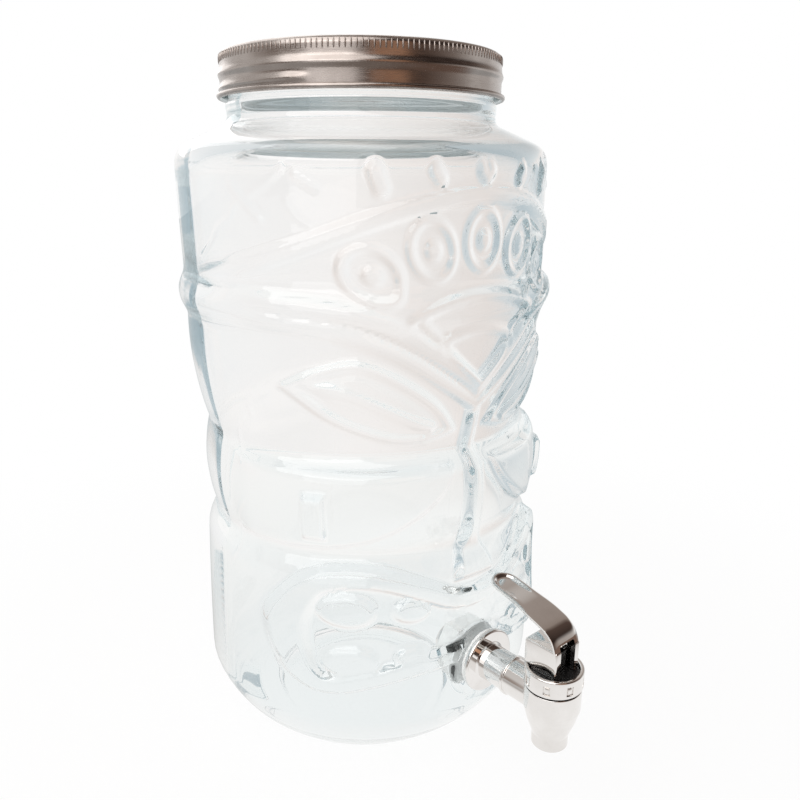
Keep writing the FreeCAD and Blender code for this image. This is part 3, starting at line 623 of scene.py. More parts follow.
def oval(x: np.ndarray, z: np.ndarray, centre: tuple, half: tuple, lean: float) -> np.ndarray:
    """Near distance to an oval.

    Args:
        x: Places across, in millimetres.
        z: Heights, in millimetres.
        centre: Across and height of its middle.
        half: Half width and half height.
        lean: Clockwise lean in degrees.

    Returns:
        Distances, negative inside it.
    """
    c, s = math.cos(math.radians(lean)), math.sin(math.radians(lean))
    px, pz = x - centre[0], z - centre[1]
    u, v = px * c - pz * s, px * s + pz * c
    size = np.hypot(u / half[0], v / half[1])
    slope = np.hypot(u / half[0] ** 2, v / half[1] ** 2)
    return size * (size - 1) / np.maximum(slope, 1e-6)


@dataclass
class MaskRelief:
    """Carving of the mask, in millimetres of its front view: across from the middle, and height.

    Each motif adds to the outward stand of the wall. Everything is mirrored about the middle of the face,
    which stands a little aside of the tap. A stand is a height out of the wall, a half is half a width, and a fade
    is where a motif ends towards the side.
    """

    stand: float = 4.0
    aside: float = 6.3
    face_radius: float = 83.0
    stroke_radius: float = 81.5
    soft: float = 2.0
    headband_stand: float = 1.7
    headband_fade: tuple[float, float] = (74.0, 82.0)
    oval_stands: tuple[float, float] = (1.25, 1.2)
    dot_half: tuple[float, float] = (3.0, 3.6)
    dash_stand: float = 1.3
    dash_half: float = 2.4
    dash_lean: float = 2.0
    dash_top: float = 269.5
    fan_stand: float = 1.3
    fan_half: float = 1.8
    fan_limits: tuple[float, float] = (33.0, 26.0)
    vee_stand: float = 1.1
    vee_half: float = 1.4
    vee_line: tuple = ((0, 187), (10, 197), (18, 206), (28, 215))
    brow_stands: tuple[float, float] = (2.1, 1.6)
    brow_halves: tuple[float, float] = (3.2, 2.5)
    brow_fade: tuple[float, float] = (74.0, 83.0)
    eye_stands: tuple[float, float, float] = (1.6, 1.6, 0.9)
    eye_rim_half: float = 1.6
    eye_lid_half: float = 1.8
    eye_swell: float = 9.0
    eye_fade: tuple[float, float] = (72.0, 80.0)
    nose_stands: tuple[float, float] = (2.2, 2.0)
    nose_halves: tuple[float, float, float] = (2.4, 2.2, 5.2)
    nose_span: tuple[float, float] = (101.0, 174.0)
    cheek_stand: float = 2.8
    cheek_fade: tuple[float, float] = (74.0, 84.0)
    cheek_corners: tuple = ((84, 116), (84, 154), (50, 152.5), (16.5, 153))
    bar_stand: float = 3.4
    lip_stand: float = 3.6
    tooth_stand: float = 2.6
    bridge: float = 165.0
    headband_centre: float = 132.0
    headband_radii: tuple[float, float] = (126.3, 132.5)
    oval_half: tuple[float, float] = (9.6, 12.6)
    oval_circle: float = 79.0
    oval_step: float = 16.2
    oval_rim: float = 3.0
    dash_places: tuple[float, ...] = (0.0, 20.0, 40.0)
    dash_lows: tuple[float, ...] = (267.5, 266.5, 263.0)
    fan_radii: tuple[float, float] = (60.0, 45.5)
    brow_top: tuple = ((0, 180), (20, 196), (42, 211), (62, 219), (80, 222))
    brow_low: tuple = ((0, 172.5), (20, 187), (40, 201), (60, 210), (80, 214))
    eye_top: tuple = ((14, 167), (26, 182), (50, 198), (64, 196), (73, 188))
    eye_bottom: tuple = ((73, 188), (60, 174), (42, 165), (27, 163.5), (14, 167))
    eye_lid: tuple = ((26, 169), (40, 177), (56, 186), (66, 189))
    cheek_line: tuple = ((16, 152), (22, 142), (33, 132), (46, 123.5), (58, 119), (70, 117))
    mouth_outer: tuple = ((0, 94), (16.6, 96), (28.5, 102), (44.5, 109), (58, 110), (69, 105), (74.5, 94), (77, 81),
                          (75, 62), (69, 53), (61, 52), (51, 55), (35.5, 59), (18, 61), (0, 61))
    mouth_rim: float = 8.0
    tooth_rows: tuple = ((57.5, 91.0, 8.6, 7.2), (35.5, 90.0, 7.0, 5.0), (57.0, 66.5, 8.6, 6.8), (36.0, 68.5, 6.4, 4.0))
    bar_turn: float = 53.5
    bar_half: tuple[float, float] = (4.4, 9.6)
    bar_height: float = 133.5
    strokes: tuple = (
        (((91.9, 236.0), (86, 243), (83.5, 247.5), (78, 252), (75.5, 257), (66.5, 264), (60.5, 270.3)), 0.5, 0.5, 1.3),
        (((59.7, 258.4), (56.5, 253), (52.9, 250.0)), 0.5, 0.4, 1.3),
        (((66.9, 184.1), (73.8, 177.2), (72.3, 172), (78, 165), (76.5, 150)), 0.4, 0.5, 1.2),
        (((85.5, 171.9), (80, 178), (75.2, 180.7), (66.9, 184.6)), 0.4, 0.4, 1.2),
        (((76, 133.3), (80.6, 123), (79.4, 111.5), (86, 101)), 0.4, 0.5, 1.2),
        (((76.5, 264.0), (67.5, 252.3)), 1.0, 0.8, 3.6), (((57.0, 268.0), (51.7, 263.6)), 1.0, 0.8, 3.6))

    def heights(self, x: np.ndarray, z: np.ndarray, turn: np.ndarray, radius: np.ndarray) -> np.ndarray:
        """Outward stand of the whole carving.

        Args:
            x: Distance across from the plane of the tap.
            z: Height.
            turn: Angle round the jar from the front, in radians.
            radius: Plain radius of the wall there.

        Returns:
            Stand in millimetres.
        """
        # The near half was measured from the plane of the tap, so what is mirrored is shifted back.
        across, lean = x + self.aside, self.aside / self.face_radius
        side, turned = np.abs(across) + self.aside, np.abs(turn + lean) + lean
        facing = smooth(0.02, 0.25, np.cos(turn))
        total = self.forehead(across, z) + self.headband(side, z) + self.brows(side, z) + self.eyes(side, z)
        total = total + self.cheeks(side, z, turned, radius) + self.mouth(side, z)
        total = np.maximum(total, self.nose(np.abs(across), z))
        return total * facing + self.side_strokes(np.degrees(turned), z, radius)

    def headband(self, side: np.ndarray, z: np.ndarray) -> np.ndarray:
        """Arched band over the forehead, which fades out at the sides.

        Args:
            side: Mirrored distance across.
            z: Height.

        Returns:
            Stand in millimetres.
        """
        away = np.hypot(side, z - self.headband_centre)
        low, high = self.headband_radii
        band = np.abs(away - (low + high) / 2) - (high - low) / 2
        return self.headband_stand * bank(band, self.soft) * (z > self.bridge) * (1 - smooth(*self.headband_fade, side))

    def forehead(self, x: np.ndarray, z: np.ndarray) -> np.ndarray:
        """Ringed ovals, dashes under the shoulder and the fan of arcs over the bridge.

        Args:
            x: Distance across from the face's middle.
            z: Height.

        Returns:
            Stand in millimetres.
        """
        side = np.abs(x)
        total = np.zeros(z.shape)
        for index in range(-2, 3):
            lean = index * self.oval_step
            centre = (self.oval_circle * math.sin(math.radians(lean)),
                      self.bridge + self.oval_circle * math.cos(math.radians(lean)))
            outer = oval(x, z, centre, self.oval_half, lean)
            ring = np.abs(outer + self.oval_rim / 2) - self.oval_rim / 2
            total = np.maximum(total, self.oval_stands[0] * bank(ring, 1.7))
            dot = oval(x, z, centre, self.dot_half, lean)
            total = np.maximum(total, self.oval_stands[1] * bank(dot, 2.4))
        for place, low_end in zip(self.dash_places, self.dash_lows):
            bar = capsule(side, z, (place, low_end), (place + self.dash_lean, self.dash_top), self.dash_half)
            total = np.maximum(total, self.dash_stand * bank(bar, 2.0))
        from_bridge = np.hypot(side, z - self.bridge)
        lean = np.degrees(np.arctan2(side, z - self.bridge))
        for radius, limit in zip(self.fan_radii, self.fan_limits):
            arc = np.abs(from_bridge - radius + self.fan_half) - self.fan_half
            fade = 1 - smooth(limit - 2, limit + 2, lean)
            total = np.maximum(total, self.fan_stand * bank(arc, 1.8) * fade)
        vee = chain(side, z, self.vee_line, self.vee_half)
        return np.maximum(total, self.vee_stand * bank(vee, 1.8))

    def brows(self, side: np.ndarray, z: np.ndarray) -> np.ndarray:
        """Two ridges side by side that sweep from the bridge out to the rib.

        Args:
            side: Mirrored distance across.
            z: Height.

        Returns:
            Stand in millimetres.
        """
        upper = chain(side, z, self.brow_top, self.brow_halves[0])
        lower = chain(side, z, self.brow_low, self.brow_halves[1])
        fade = 1 - smooth(*self.brow_fade, side)
        high, low = self.brow_stands
        return (high * bank(upper, 2.8) + low * bank(lower, 2.4)) * fade

    def eyes(self, side: np.ndarray, z: np.ndarray) -> np.ndarray:
        """Half-closed eyes: a raised rim, a swollen lid and the line of the lid.

        Args:
            side: Mirrored distance across.
            z: Height.

        Returns:
            Stand in millimetres.
        """
        outline = through(self.eye_top, 6)[:-1] + through(self.eye_bottom, 6)[:-1]
        edge = inside(side, z, outline)
        rim = np.abs(edge + self.eye_rim_half) - self.eye_rim_half
        lid = chain(side, z, self.eye_lid, self.eye_lid_half)
        rim_stand, swell_stand, lid_stand = self.eye_stands
        swell = swell_stand * smooth(0.0, self.eye_swell, -edge)
        fade = 1 - smooth(*self.eye_fade, side)
        return (rim_stand * bank(rim, 2.6) + swell + lid_stand * bank(lid, 2.8) * (edge < 2)) * fade

    def nose(self, side: np.ndarray, z: np.ndarray) -> np.ndarray:
        """Long wedge that widens towards its base and ends in a rounded tip.

        Args:
            side: Distance to either side of the face's middle.
            z: Height.

        Returns:
            Stand in millimetres.
        """
        low, high = self.nose_span
        share = np.clip((high - z) / (high - low), 0.0, 1.0)
        thin, wedge, base = self.nose_halves
        half = thin + wedge * share + base * smooth(0.72, 1.0, share)
        edge = np.maximum(side - half, np.maximum(low - z, z - high))
        return (self.nose_stands[0] + self.nose_stands[1] * share) * bank(edge, 5.0)

    def cheeks(self, side: np.ndarray, z: np.ndarray, turn: np.ndarray, radius: np.ndarray) -> np.ndarray:
        """Half-moon cheeks under the eyes, each with an upright bar.

        Args:
            side: Mirrored distance across.
            z: Height.
            turn: Mirrored angle round the jar, in radians.
            radius: Plain radius of the wall there.

        Returns:
            Stand in millimetres.
        """
        outline = [*through(self.cheek_line, 5), *self.cheek_corners]
        moon = self.cheek_stand * bank(inside(side, z, outline), 2.4)
        across = (turn - math.radians(self.bar_turn)) * radius
        box = np.maximum(np.abs(across) - self.bar_half[0], np.abs(z - self.bar_height) - self.bar_half[1])
        bar = self.bar_stand * bank(box, 2.4)
        return moon * (1 - smooth(*self.cheek_fade, side)) + bar

    def mouth(self, side: np.ndarray, z: np.ndarray) -> np.ndarray:
        """Lip band with a lobe on each side, the hollow inside it and rounded teeth.

        Args:
            side: Mirrored distance across.
            z: Height.

        Returns:
            Stand in millimetres.
        """
        half = through(self.mouth_outer, 4)
        edge = inside(side, z, half + [(-across, height) for across, height in reversed(half[1:-1])])
        total = self.lip_stand * bank(np.abs(edge + self.mouth_rim / 2) - self.mouth_rim / 2, 3.0)
        for place, height, wide, tall in self.tooth_rows:
            tooth = oval(side, z, (place, height), (wide, tall), 0.0)
            total = np.maximum(total, self.tooth_stand * bank(tooth, 3.0))
        return total

    def side_strokes(self, degrees: np.ndarray, z: np.ndarray, radius: np.ndarray) -> np.ndarray:
        """Fine slanting lines on the sides of the crown, and soft bars that cross them.

        Args:
            degrees: Mirrored angle round the jar.
            z: Height.
            radius: Plain radius of the wall there.

        Returns:
            Stand in millimetres.
        """
        across = np.radians(np.abs(degrees)) * radius
        total = np.zeros(z.shape)
        for points, half, stand, soft in self.strokes:
            line = [(math.radians(turn) * self.stroke_radius, height) for turn, height in points]
            total = np.maximum(total, stand * bank(chain(across, z, line, half), soft))
        return total


@dataclass
class GlassJar:
    """The moulded glass jar: one closed mesh, carved outside, smooth inside, with the tap hole.

    Heights and radii are in millimetres. A run of points holds an end, a middle, an end and so on of round bends,
    from the foot up to the rim outside, and from the rim down to the floor inside.
    """

    foot_radius: float = 54.0
    foot_width: float = 9.0
    push_up: float = 4.0
    tap_height: float = 56.0
    tap_face: float = 85.0
    tap_pad: float = 16.0
    tap_hole: float = 8.25
    step: float = 1.3
    fine_zone: tuple[float, float] = (30.0, 274.0)
    front_edge: float = 98.0
    front_columns: int = 312
    back_columns: int = 36
    thinning: int = 3
    inner_step: float = 3.0
    forward_zone: tuple = (4, 46, 149, 159)
    carved_zone: tuple = (36, 44, 273, 277)
    outer_run: tuple = (
        (54, 0), (70.5, 14.2), (81.2, 34), (80.6, 67), (79.4, 100), (78.2, 106.5), (73.8, 113), (78.2, 135.5),
        (75.6, 158), (81.1, 183.5), (82, 209), (85.4, 217.8), (82.4, 226.5), (82.9, 249), (83.4, 273),
        (81.3, 279.2), (75.4, 281.7), (69.0, 285.0), (62.7, 287.5), (60.6, 288.4), (59.7, 290.5), (59.7, 292.5),
        (59.7, 294.6), (60.8, 296.2), (59.7, 297.8), (59.0, 298.1), (58.6, 298.6), (58.6, 306), (58.6, 313.4),
        (58.2, 314.5), (57.1, 314.9))
    inner_run: tuple = (
        (57.1, 314.9), (55.8, 314.6), (55.4, 313.4), (55.4, 302), (55.4, 290.5), (56.8, 286.8), (60.6, 283.9),
        (66.9, 280.9), (73.2, 277.6), (77.3, 275.6), (79.1, 270.6), (78.4, 240), (77.7, 209), (75.6, 184),
        (71.3, 158), (73.4, 135.5), (69.5, 113), (73.0, 106), (75.1, 100), (76.4, 64), (76.9, 29), (71.6, 16.3),
        (58.9, 11), (30, 11), (0.0, 11))
    relief: MaskRelief = field(default_factory=MaskRelief)

    def outside(self) -> list[tuple[float, float]]:
        """Outer half section from the foot's edge to the rim, before the carving.

        Returns:
            Radius and height pairs at even steps.
        """
        return softened(even_points(self.outer_run, self.step, self.fine_zone), 3)

    def inner(self) -> list[tuple[float, float]]:
        """Inner half section from the rim down to the middle of the floor.

        Returns:
            Radius and height pairs at even steps.
        """
        return softened(even_points(self.inner_run, self.inner_step, (0.0, 400.0)), 2)

    def columns(self) -> np.ndarray:
        """Angles round the jar from the front, closer together over the mask.

        Returns:
            Angles in radians.
        """
        edge = math.radians(self.front_edge)
        front = np.linspace(-edge, edge, self.front_columns, endpoint=False)
        back = np.linspace(edge, 2 * math.pi - edge, self.back_columns, endpoint=False)
        return np.concatenate([front, back])

    def build(self) -> bpy.types.Object:
        """Make the closed mesh and cut the tap hole.

        Returns:
            The jar object.
        """
        under = [(0.0, self.push_up), (20.0, self.push_up), (self.foot_radius - self.foot_width - 3, self.push_up),
                 (self.foot_radius - self.foot_width, 0.8), (self.foot_radius - self.foot_width + 1.2, 0.0),
                 (self.foot_radius - 3.5, 0.0)]
        outside, turns = under + self.outside(), self.columns()
        radius, height, turn = self.grid(outside, turns)
        radius[len(under):] = self.carve(radius[len(under):], height[len(under):], turn[len(under):])
        within = self.grid(self.inner()[1:], turns[::self.thinning])
        verts = np.concatenate([self.placed(radius, height, turn), self.placed(*within)])
        faces = grid_faces(len(outside), len(turns))
        first = len(outside) * len(turns)
        faces += [tuple(first + i for i in face) for face in grid_faces(*within[0].shape)]
        jar = new_piece("jar_glass", verts, faces + self.lip_faces(first - len(turns), first), 60.0)
        drill = lathe("drill", [(0, 50), (self.tap_hole, 50), (self.tap_hole, 110), (0, 110)], 64,
                      forward_axis(self.tap_height))
        return combined("jar_glass", jar, [(drill, "DIFFERENCE")], 50.0)

    def grid(self, outline: Sequence[tuple], turns: np.ndarray) -> tuple[np.ndarray, np.ndarray, np.ndarray]:
        """Radius, height and angle of every point of an outline turned round the axis."""
        radius, height = (np.array(row)[:, None] * np.ones_like(turns)[None, :] for row in zip(*outline))
        return radius, height, np.ones(len(outline))[:, None] * turns[None, :]

    def placed(self, radius: np.ndarray, height: np.ndarray, turn: np.ndarray) -> np.ndarray:
        """Points in metres from radius, height and angle from the front."""
        return np.stack([radius * np.sin(turn), -radius * np.cos(turn), height], axis=-1).reshape(-1, 3) * MM

    def lip_faces(self, outer: int, inner: int) -> list[tuple[int, ...]]:
        """Faces over the rim, from the close outer columns to the wider inner ones.

        Args:
            outer: Index of the first point of the outer ring.
            inner: Index of the first point of the inner ring.

        Returns:
            The faces.
        """
        count = self.front_columns + self.back_columns
        faces = []
        for column in range(count):
            near = inner + column // self.thinning
            after = outer + (column + 1) % count
            if column % self.thinning == self.thinning - 1:
                following = inner + (column // self.thinning + 1) % (count // self.thinning)
                faces.append((outer + column, after, following, near))
            else:
                faces.append((outer + column, after, near))
        return faces

    def carve(self, radius: np.ndarray, height: np.ndarray, turn: np.ndarray) -> np.ndarray:
        """Push the plain wall out into the mask.

        Args:
            radius: Plain radii.
            height: Heights.
            turn: Angles from the front.

        Returns:
            Carved radii.
        """
        front = np.maximum(np.cos(turn), 0.0)
        forward = self.relief.stand * self.between(self.forward_zone, height)
        shifted = forward * front + np.sqrt(radius ** 2 - (forward * np.sin(turn)) ** 2)
        stood = np.where(front > 0, np.maximum(radius, shifted), radius)
        x = stood * np.sin(turn)
        carved = stood + self.relief.heights(x, height, turn, radius) * self.between(self.carved_zone, height)
        away = np.hypot(carved * np.sin(turn), height - self.tap_height)
        flat = (1 - smooth(self.tap_pad, self.tap_pad + 3.5, away)) * (front > 0.5)
        return carved * (1 - flat) + self.tap_face / np.maximum(front, 0.3) * flat

    def between(self, zone: tuple, height: np.ndarray) -> np.ndarray:
        """Share that rises over the zone's first two heights and falls over its last two."""
        return smooth(*zone[:2], height) * (1 - smooth(*zone[2:], height))

    def dress(self) -> None:
        """Build the jar in glass."""
        settle(self.build(), GLASS.material(), Body.JAR, Slot.GLASS, "glass_jar")


def even_points(run: Sequence[tuple], step: float, fine: tuple[float, float]) -> list[tuple[float, float]]:
    """Sample a run of round bends at steps that double outside the fine heights.

    Args:
        run: End, middle, end and so on of the bends.
        step: Length of a step.
        fine: Lowest and highest fine height.

    Returns:
        Radius and height pairs.
    """
    points = [run[0]]
    for start, middle, end in zip(run[::2], run[1::2], run[2::2]):
        pole = [2 * m - (s + e) / 2 for s, m, e in zip(start, middle, end)]
        size = step if fine[0] < middle[1] < fine[1] else 2 * step
        count = max(3, round(math.dist(start, end) / size))
        for index in range(1, count + 1):
            t = index / count
            points.append(tuple(s * (1 - t) ** 2 + p * 2 * t * (1 - t) + e * t ** 2
                                for s, p, e in zip(start, pole, end)))
    return points


def softened(points: list[tuple[float, float]], rounds: int) -> list[tuple[float, float]]:
    """Round off the creases of an outline, its ends kept.

    Args:
        points: Radius and height pairs.
        rounds: Times each point is drawn towards its neighbours.

    Returns:
        The softer outline.
    """
    work = np.array(points)
    for _ in range(rounds):
        work[1:-1] = work[1:-1] * 0.5 + (work[:-2] + work[2:]) * 0.25
    return [tuple(p) for p in work]


def grid_faces(rows: int, columns: int) -> list[tuple[int, ...]]:
    """Faces of a grid that closes round the axis.

    Args:
        rows: Rows from one end to the other.
        columns: Columns round the axis.

    Returns:
        The faces.
    """
    faces = []
    for row in range(rows - 1):
        for column in range(columns):
            after = (column + 1) % columns
            faces.append((row * columns + column, row * columns + after,
                          (row + 1) * columns + after, (row + 1) * columns + column))
    return faces


# Lid


@dataclass
class TinLid:
    """Pressed screw lid: sunk panel, knurled corner, rolled thread in the skirt and a curled lower edge."""

    low: float = 298.8
    top: float = 317.6
    skirt: float = 61.9
    tin: float = 0.6
    panel_sink: float = 0.9
    corner: float = 2.6
    curl: float = 1.15
    thread_stand: float = 0.75
    thread_lead: float = 6.0
    thread_end: float = -56.0
    thread_drop: float = 14.4
    thread_width: float = 1.4
    thread_run: float = 170.0
    thread_fades: tuple[float, float] = (9.0, 40.0)
    ring_drop: float = 9.2
    ring_width: float = 1.5
    knurls: int = 180
    knurl_half: tuple[float, float] = (0.42, 1.9)
    segments: int = 360

    def outline(self) -> list[tuple[float, float]]:
        """Closed section of the lid's sheet, with a fine run down the skirt for the thread.

        Returns:
            Radius and height pairs.
        """
        top, skirt, tin, low = self.top, self.skirt, self.tin, self.low
        outer = [(0.0, top - self.panel_sink), (skirt - 6.2, top - self.panel_sink), (skirt - 5.0, top - 0.15),
                 (skirt - 4.2, top)]
        for step in range(7):
            turn = math.pi / 2 * step / 6
            outer.append((skirt - self.corner + self.corner * math.sin(turn),
                          top - self.corner + self.corner * math.cos(turn)))
        outer += [(skirt, h) for h in np.linspace(top - self.corner - 0.5, low + 2.6 * self.curl, 22)]
        centre = (skirt + self.curl - tin, low + self.curl)
        for step in range(13):
            turn = math.radians(120 - 300 * step / 12)
            outer.append((centre[0] + self.curl * math.cos(turn), centre[1] + self.curl * math.sin(turn)))
        inner = [(skirt - tin, h) for h in np.linspace(low + 2 * self.curl, top - self.corner - 0.5, 20)]
        inner += [(skirt - tin - 0.9, top - self.panel_sink - tin - 0.05), (0.0, top - self.panel_sink - tin)]
        return outer + inner

    def build(self) -> bpy.types.Object:
        """Turn the sheet and roll the thread into it.

        Returns:
            The lid object.
        """
        lid = lathe("lid_tin", self.outline(), self.segments)
        for vert in lid.data.vertices:
            x, y, z = (c / MM for c in vert.co)
            radius = math.hypot(x, y)
            if radius < self.skirt - 2 or z > self.top - 3.4 or z < self.low + 3.0:
                continue
            stand = self.thread(math.degrees(math.atan2(x, -y)), z)
            vert.co.x *= (radius + stand) / radius
            vert.co.y *= (radius + stand) / radius
        return lid

    def thread(self, turn: float, height: float) -> float:
        """Stand of the rolled thread at a place on the skirt.

        Args:
            turn: Angle from the front in degrees.
            height: Height in millimetres.

        Returns:
            Outward stand in millimetres.
        """
        ring = math.exp(-((height - self.top + self.ring_drop) / self.ring_width) ** 2)
        along = (self.thread_end - turn) % 360
        middle = self.top - self.thread_drop - self.thread_lead * along / 360
        start, end = self.thread_fades
        ends = max(min(1.0, along / start, (self.thread_run - along) / end), 0.0)
        return self.thread_stand * max(ring, ends * math.exp(-((height - middle) / self.thread_width) ** 2))

    def knurl_tree(self, material: bpy.types.Material) -> bpy.types.NodeTree:
        """Geometry nodes that set fine upright ridges round the corner.

        Args:
            material: Material of the ridges.

        Returns:
            The node group.
        """
        tree = bpy.data.node_groups.new("lid_knurls", "GeometryNodeTree")
        tree.interface.new_socket("Geometry", in_out="INPUT", socket_type="NodeSocketGeometry")
        for name in ("Radius", "Height", "Length", "Width"):
            tree.interface.new_socket(name, in_out="INPUT", socket_type="NodeSocketFloat")
        tree.interface.new_socket("Count", in_out="INPUT", socket_type="NodeSocketInt")
        tree.interface.new_socket("Geometry", in_out="OUTPUT", socket_type="NodeSocketGeometry")
        start = node(tree, "NodeGroupInput")
        circle = node(tree, "GeometryNodeMeshCircle", {"Vertices": start.outputs["Count"],
                                                       "Radius": start.outputs["Radius"]})
        lift = node(tree, "ShaderNodeCombineXYZ", {"Z": start.outputs["Height"]})
        ring = node(tree, "GeometryNodeTransform", {"Geometry": circle, "Translation": lift})
        size = node(tree, "ShaderNodeCombineXYZ", {"X": start.outputs["Width"], "Y": start.outputs["Width"],
                                                   "Z": start.outputs["Length"]})
        ridge = node(tree, "GeometryNodeMeshUVSphere", values={"Segments": 8, "Rings": 6, "Radius": 1.0})
        spot = node(tree, "GeometryNodeInstanceOnPoints", {"Points": ring, "Instance": ridge, "Scale": size})
        real = node(tree, "GeometryNodeRealizeInstances", {"Geometry": spot})
        both = node(tree, "GeometryNodeJoinGeometry")
        tree.links.new(start.outputs["Geometry"], both.inputs["Geometry"])
        tree.links.new(real.outputs["Geometry"], both.inputs["Geometry"])
        shade = node(tree, "GeometryNodeSetShadeSmooth", {"Geometry": both})
        painted = node(tree, "GeometryNodeSetMaterial", {"Geometry": shade}, {"Material": material})
        node(tree, "NodeGroupOutput", {"Geometry": painted})
        return tree

    def inward(self, face: bpy.types.MeshPolygon) -> bool:
        """True if a face of the sheet looks down or towards the lid's axis."""
        flat = Vector((face.center.x, face.center.y, 0.0)).normalized()
        return face.normal.z < -0.7 or face.normal.dot(flat) < -0.3

    def dress(self) -> None:
        """Build the lid, add its knurls and set its tin, with a pale tin on the inside as painted light."""
        material = TIN.material()
        lid = self.build()
        tree = self.knurl_tree(material)
        step = lid.modifiers.new("knurls", "NODES")
        step.node_group = tree
        sizes = {"Radius": (self.skirt - 0.10) * MM, "Height": (self.top - self.corner - 0.4) * MM,
                 "Length": self.knurl_half[1] * MM, "Width": self.knurl_half[0] * MM, "Count": self.knurls}
        for item in tree.interface.items_tree:
            if item.in_out == "INPUT" and item.name in sizes:
                step[item.identifier] = sizes[item.name]
        bake(lid)
        settle(lid, material, Body.LID, Slot.TIN, "lid_cap")
        # Painted light: faces inside the skirt and under the panel get the pale tin, so the shaded inside of the lid
        # looks light.
        lid.data.materials.append(LID_INSIDE_PAINTED_LIGHT.material())
        for face in lid.data.polygons:
            x, y, z = face.center / MM
            below = z < self.top - self.panel_sink - self.tin + 0.05
            if math.hypot(x, y) < self.skirt - self.tin + 0.9 and below and self.inward(face):
                face.material_index = 1


# Tap


@dataclass
class Tap:
    """Chrome lever tap: shank and flange, cup with snap windows, nozzle, and the lever with its dished pad."""

    height: float = 56.0
    reach: float = 124.6
    flange: tuple[float, float] = (86.5, 89.0)
    flange_radius: float = 14.6
    shank_radius: float = 7.75
    shank_tail: float = 59.85
    shank_ridges: int = 9
    shank_pitch: float = 1.5
    ridge_depth: float = 0.55
    way_radius: float = 4.0
    ring_place: float = 102.2
    cup_radius: float = 12.05
    band_stand: float = 0.35
    band_low: float = 64.8
    rim: float = 72.8
    mouth_radius: float = 10.7
    mouth_floor: float = 66.8
    chamber_radius: float = 9.2
    seat_bore: float = 5.0
    nozzle_bore: float = 5.8
    nozzle_radius: float = 7.75
    bottom: float = 35.0
    windows: int = 8
    window_turn: float = -20.0
    lever_foot: float = 71.6
    lever_width: float = 15.4
    lever_gap: float = 9.4
    lever_thickness: float = 2.6
    lever_taper: float = 1.0
    dish: float = 1.3
    wire_radius: float = 0.4
    coil_radius: float = 3.7
    coil_turns: int = 7
    coil_span: tuple[float, float] = (56.5, 67.7)

    def shank(self) -> bpy.types.Object:
        """Turned shank with its flange, thread and ring, along the front axis.

        Returns:
            The shank.
        """
        tail, run = self.shank_tail, self.shank_radius
        outline = [(0, tail, 0), (run - 0.7, tail, 0.2), (run, tail + 0.8, 0.2)]
        for index in range(self.shank_ridges):
            place = tail + 1.6 + index * self.shank_pitch
            outline += [(run, place, 0.15), (run - self.ridge_depth, place + self.shank_pitch / 2, 0.15)]
        outline += [(run, self.flange[0] - 1.0, 0), (run, self.flange[0], 0),
                    (self.flange_radius, self.flange[0], 0.5), (self.flange_radius, self.flange[1], 1.0),
                    (run + 1.4, self.flange[1], 0.5), (run + 0.4, self.flange[1] + 0.7, 0.5),
                    (run + 0.4, self.ring_place, 0.3), (8.9, self.ring_place, 0.5),
                    (8.9, self.ring_place + 1.7, 0.5), (8.25, self.ring_place + 1.7, 0.3), (8.25, self.reach, 0),
                    (0, self.reach, 0)]
        return lathe("shank", rounded(outline, 4), 96, forward_axis(self.height))

    def cup(self) -> bpy.types.Object:
        """Turned cup, snap band and nozzle about the upright axis.

        Returns:
            The cup.
        """
        band = self.cup_radius + self.band_stand
        outline = [(0, self.bottom, 0), (self.nozzle_radius - 0.5, self.bottom, 0.4),
                   (self.nozzle_radius, self.bottom + 0.6, 0.4),
                   (self.nozzle_radius, 40.8, 3.0), (10.3, 47.6, 3.0), (self.cup_radius, 54.0, 3.0),
                   (self.cup_radius, self.band_low - 0.9, 0.3), (self.cup_radius - 0.7, self.band_low - 0.8, 0.05),
                   (self.cup_radius - 0.7, self.band_low, 0.05), (band, self.band_low + 0.1, 0.3),
                   (band, self.rim, 0.7), (self.mouth_radius, self.rim, 0.4),
                   (self.mouth_radius, self.mouth_floor, 0.1), (0, self.mouth_floor, 0)]
        return lathe("cup", rounded(outline, 6), 128, self.upright_axis())

    def upright_axis(self) -> Matrix:
        """Axis of cup, nozzle, stem and lever foot."""
        return Matrix.Translation((0, -self.reach * MM, 0))

    def round_cup(self, name: str, low: Sequence[float], high: Sequence[float],
                  bevel: float) -> list[bpy.types.Object]:
        """Equal blocks round the cup, one at each snap window.

        Args:
            name: Name of the blocks.
            low: Lowest corner of the front one, from the cup's axis.
            high: Its highest corner.
            bevel: Edge radius.

        Returns:
            The blocks.
        """
        blocks = []
        for index in range(self.windows):
            turn = math.radians(self.window_turn + 360 / self.windows * index)
            made = block(name, low, high, bevel, 2)
            made.data.transform(self.upright_axis() @ Matrix.Rotation(turn, 4, "Z"))
            blocks.append(made)
        return blocks

    def bores(self) -> list[tuple[bpy.types.Object, str]]:
        """Waterway, valve chamber and the snap windows, as cutters.

        Returns:
            Each cutter with its operation.
        """
        way, chamber, nozzle, seat = self.way_radius, self.chamber_radius, self.nozzle_bore, self.seat_bore
        waterway = lathe("way", [(0, 55), (way, 55), (way, 122), (0, 122)], 40, forward_axis(self.height))
        inside_cup = lathe("chamber", [(0, 34), (nozzle, 34), (nozzle, 42.5), (seat, 44), (seat, 50), (chamber, 50),
                                       (chamber, 70), (0, 70)], 64, self.upright_axis())
        windows = self.round_cup("window", (-1.5, -14.0, 66.2), (1.5, -11.75, 70.4), 0.25)
        return [(cutter, "DIFFERENCE") for cutter in (waterway, inside_cup, *windows)]

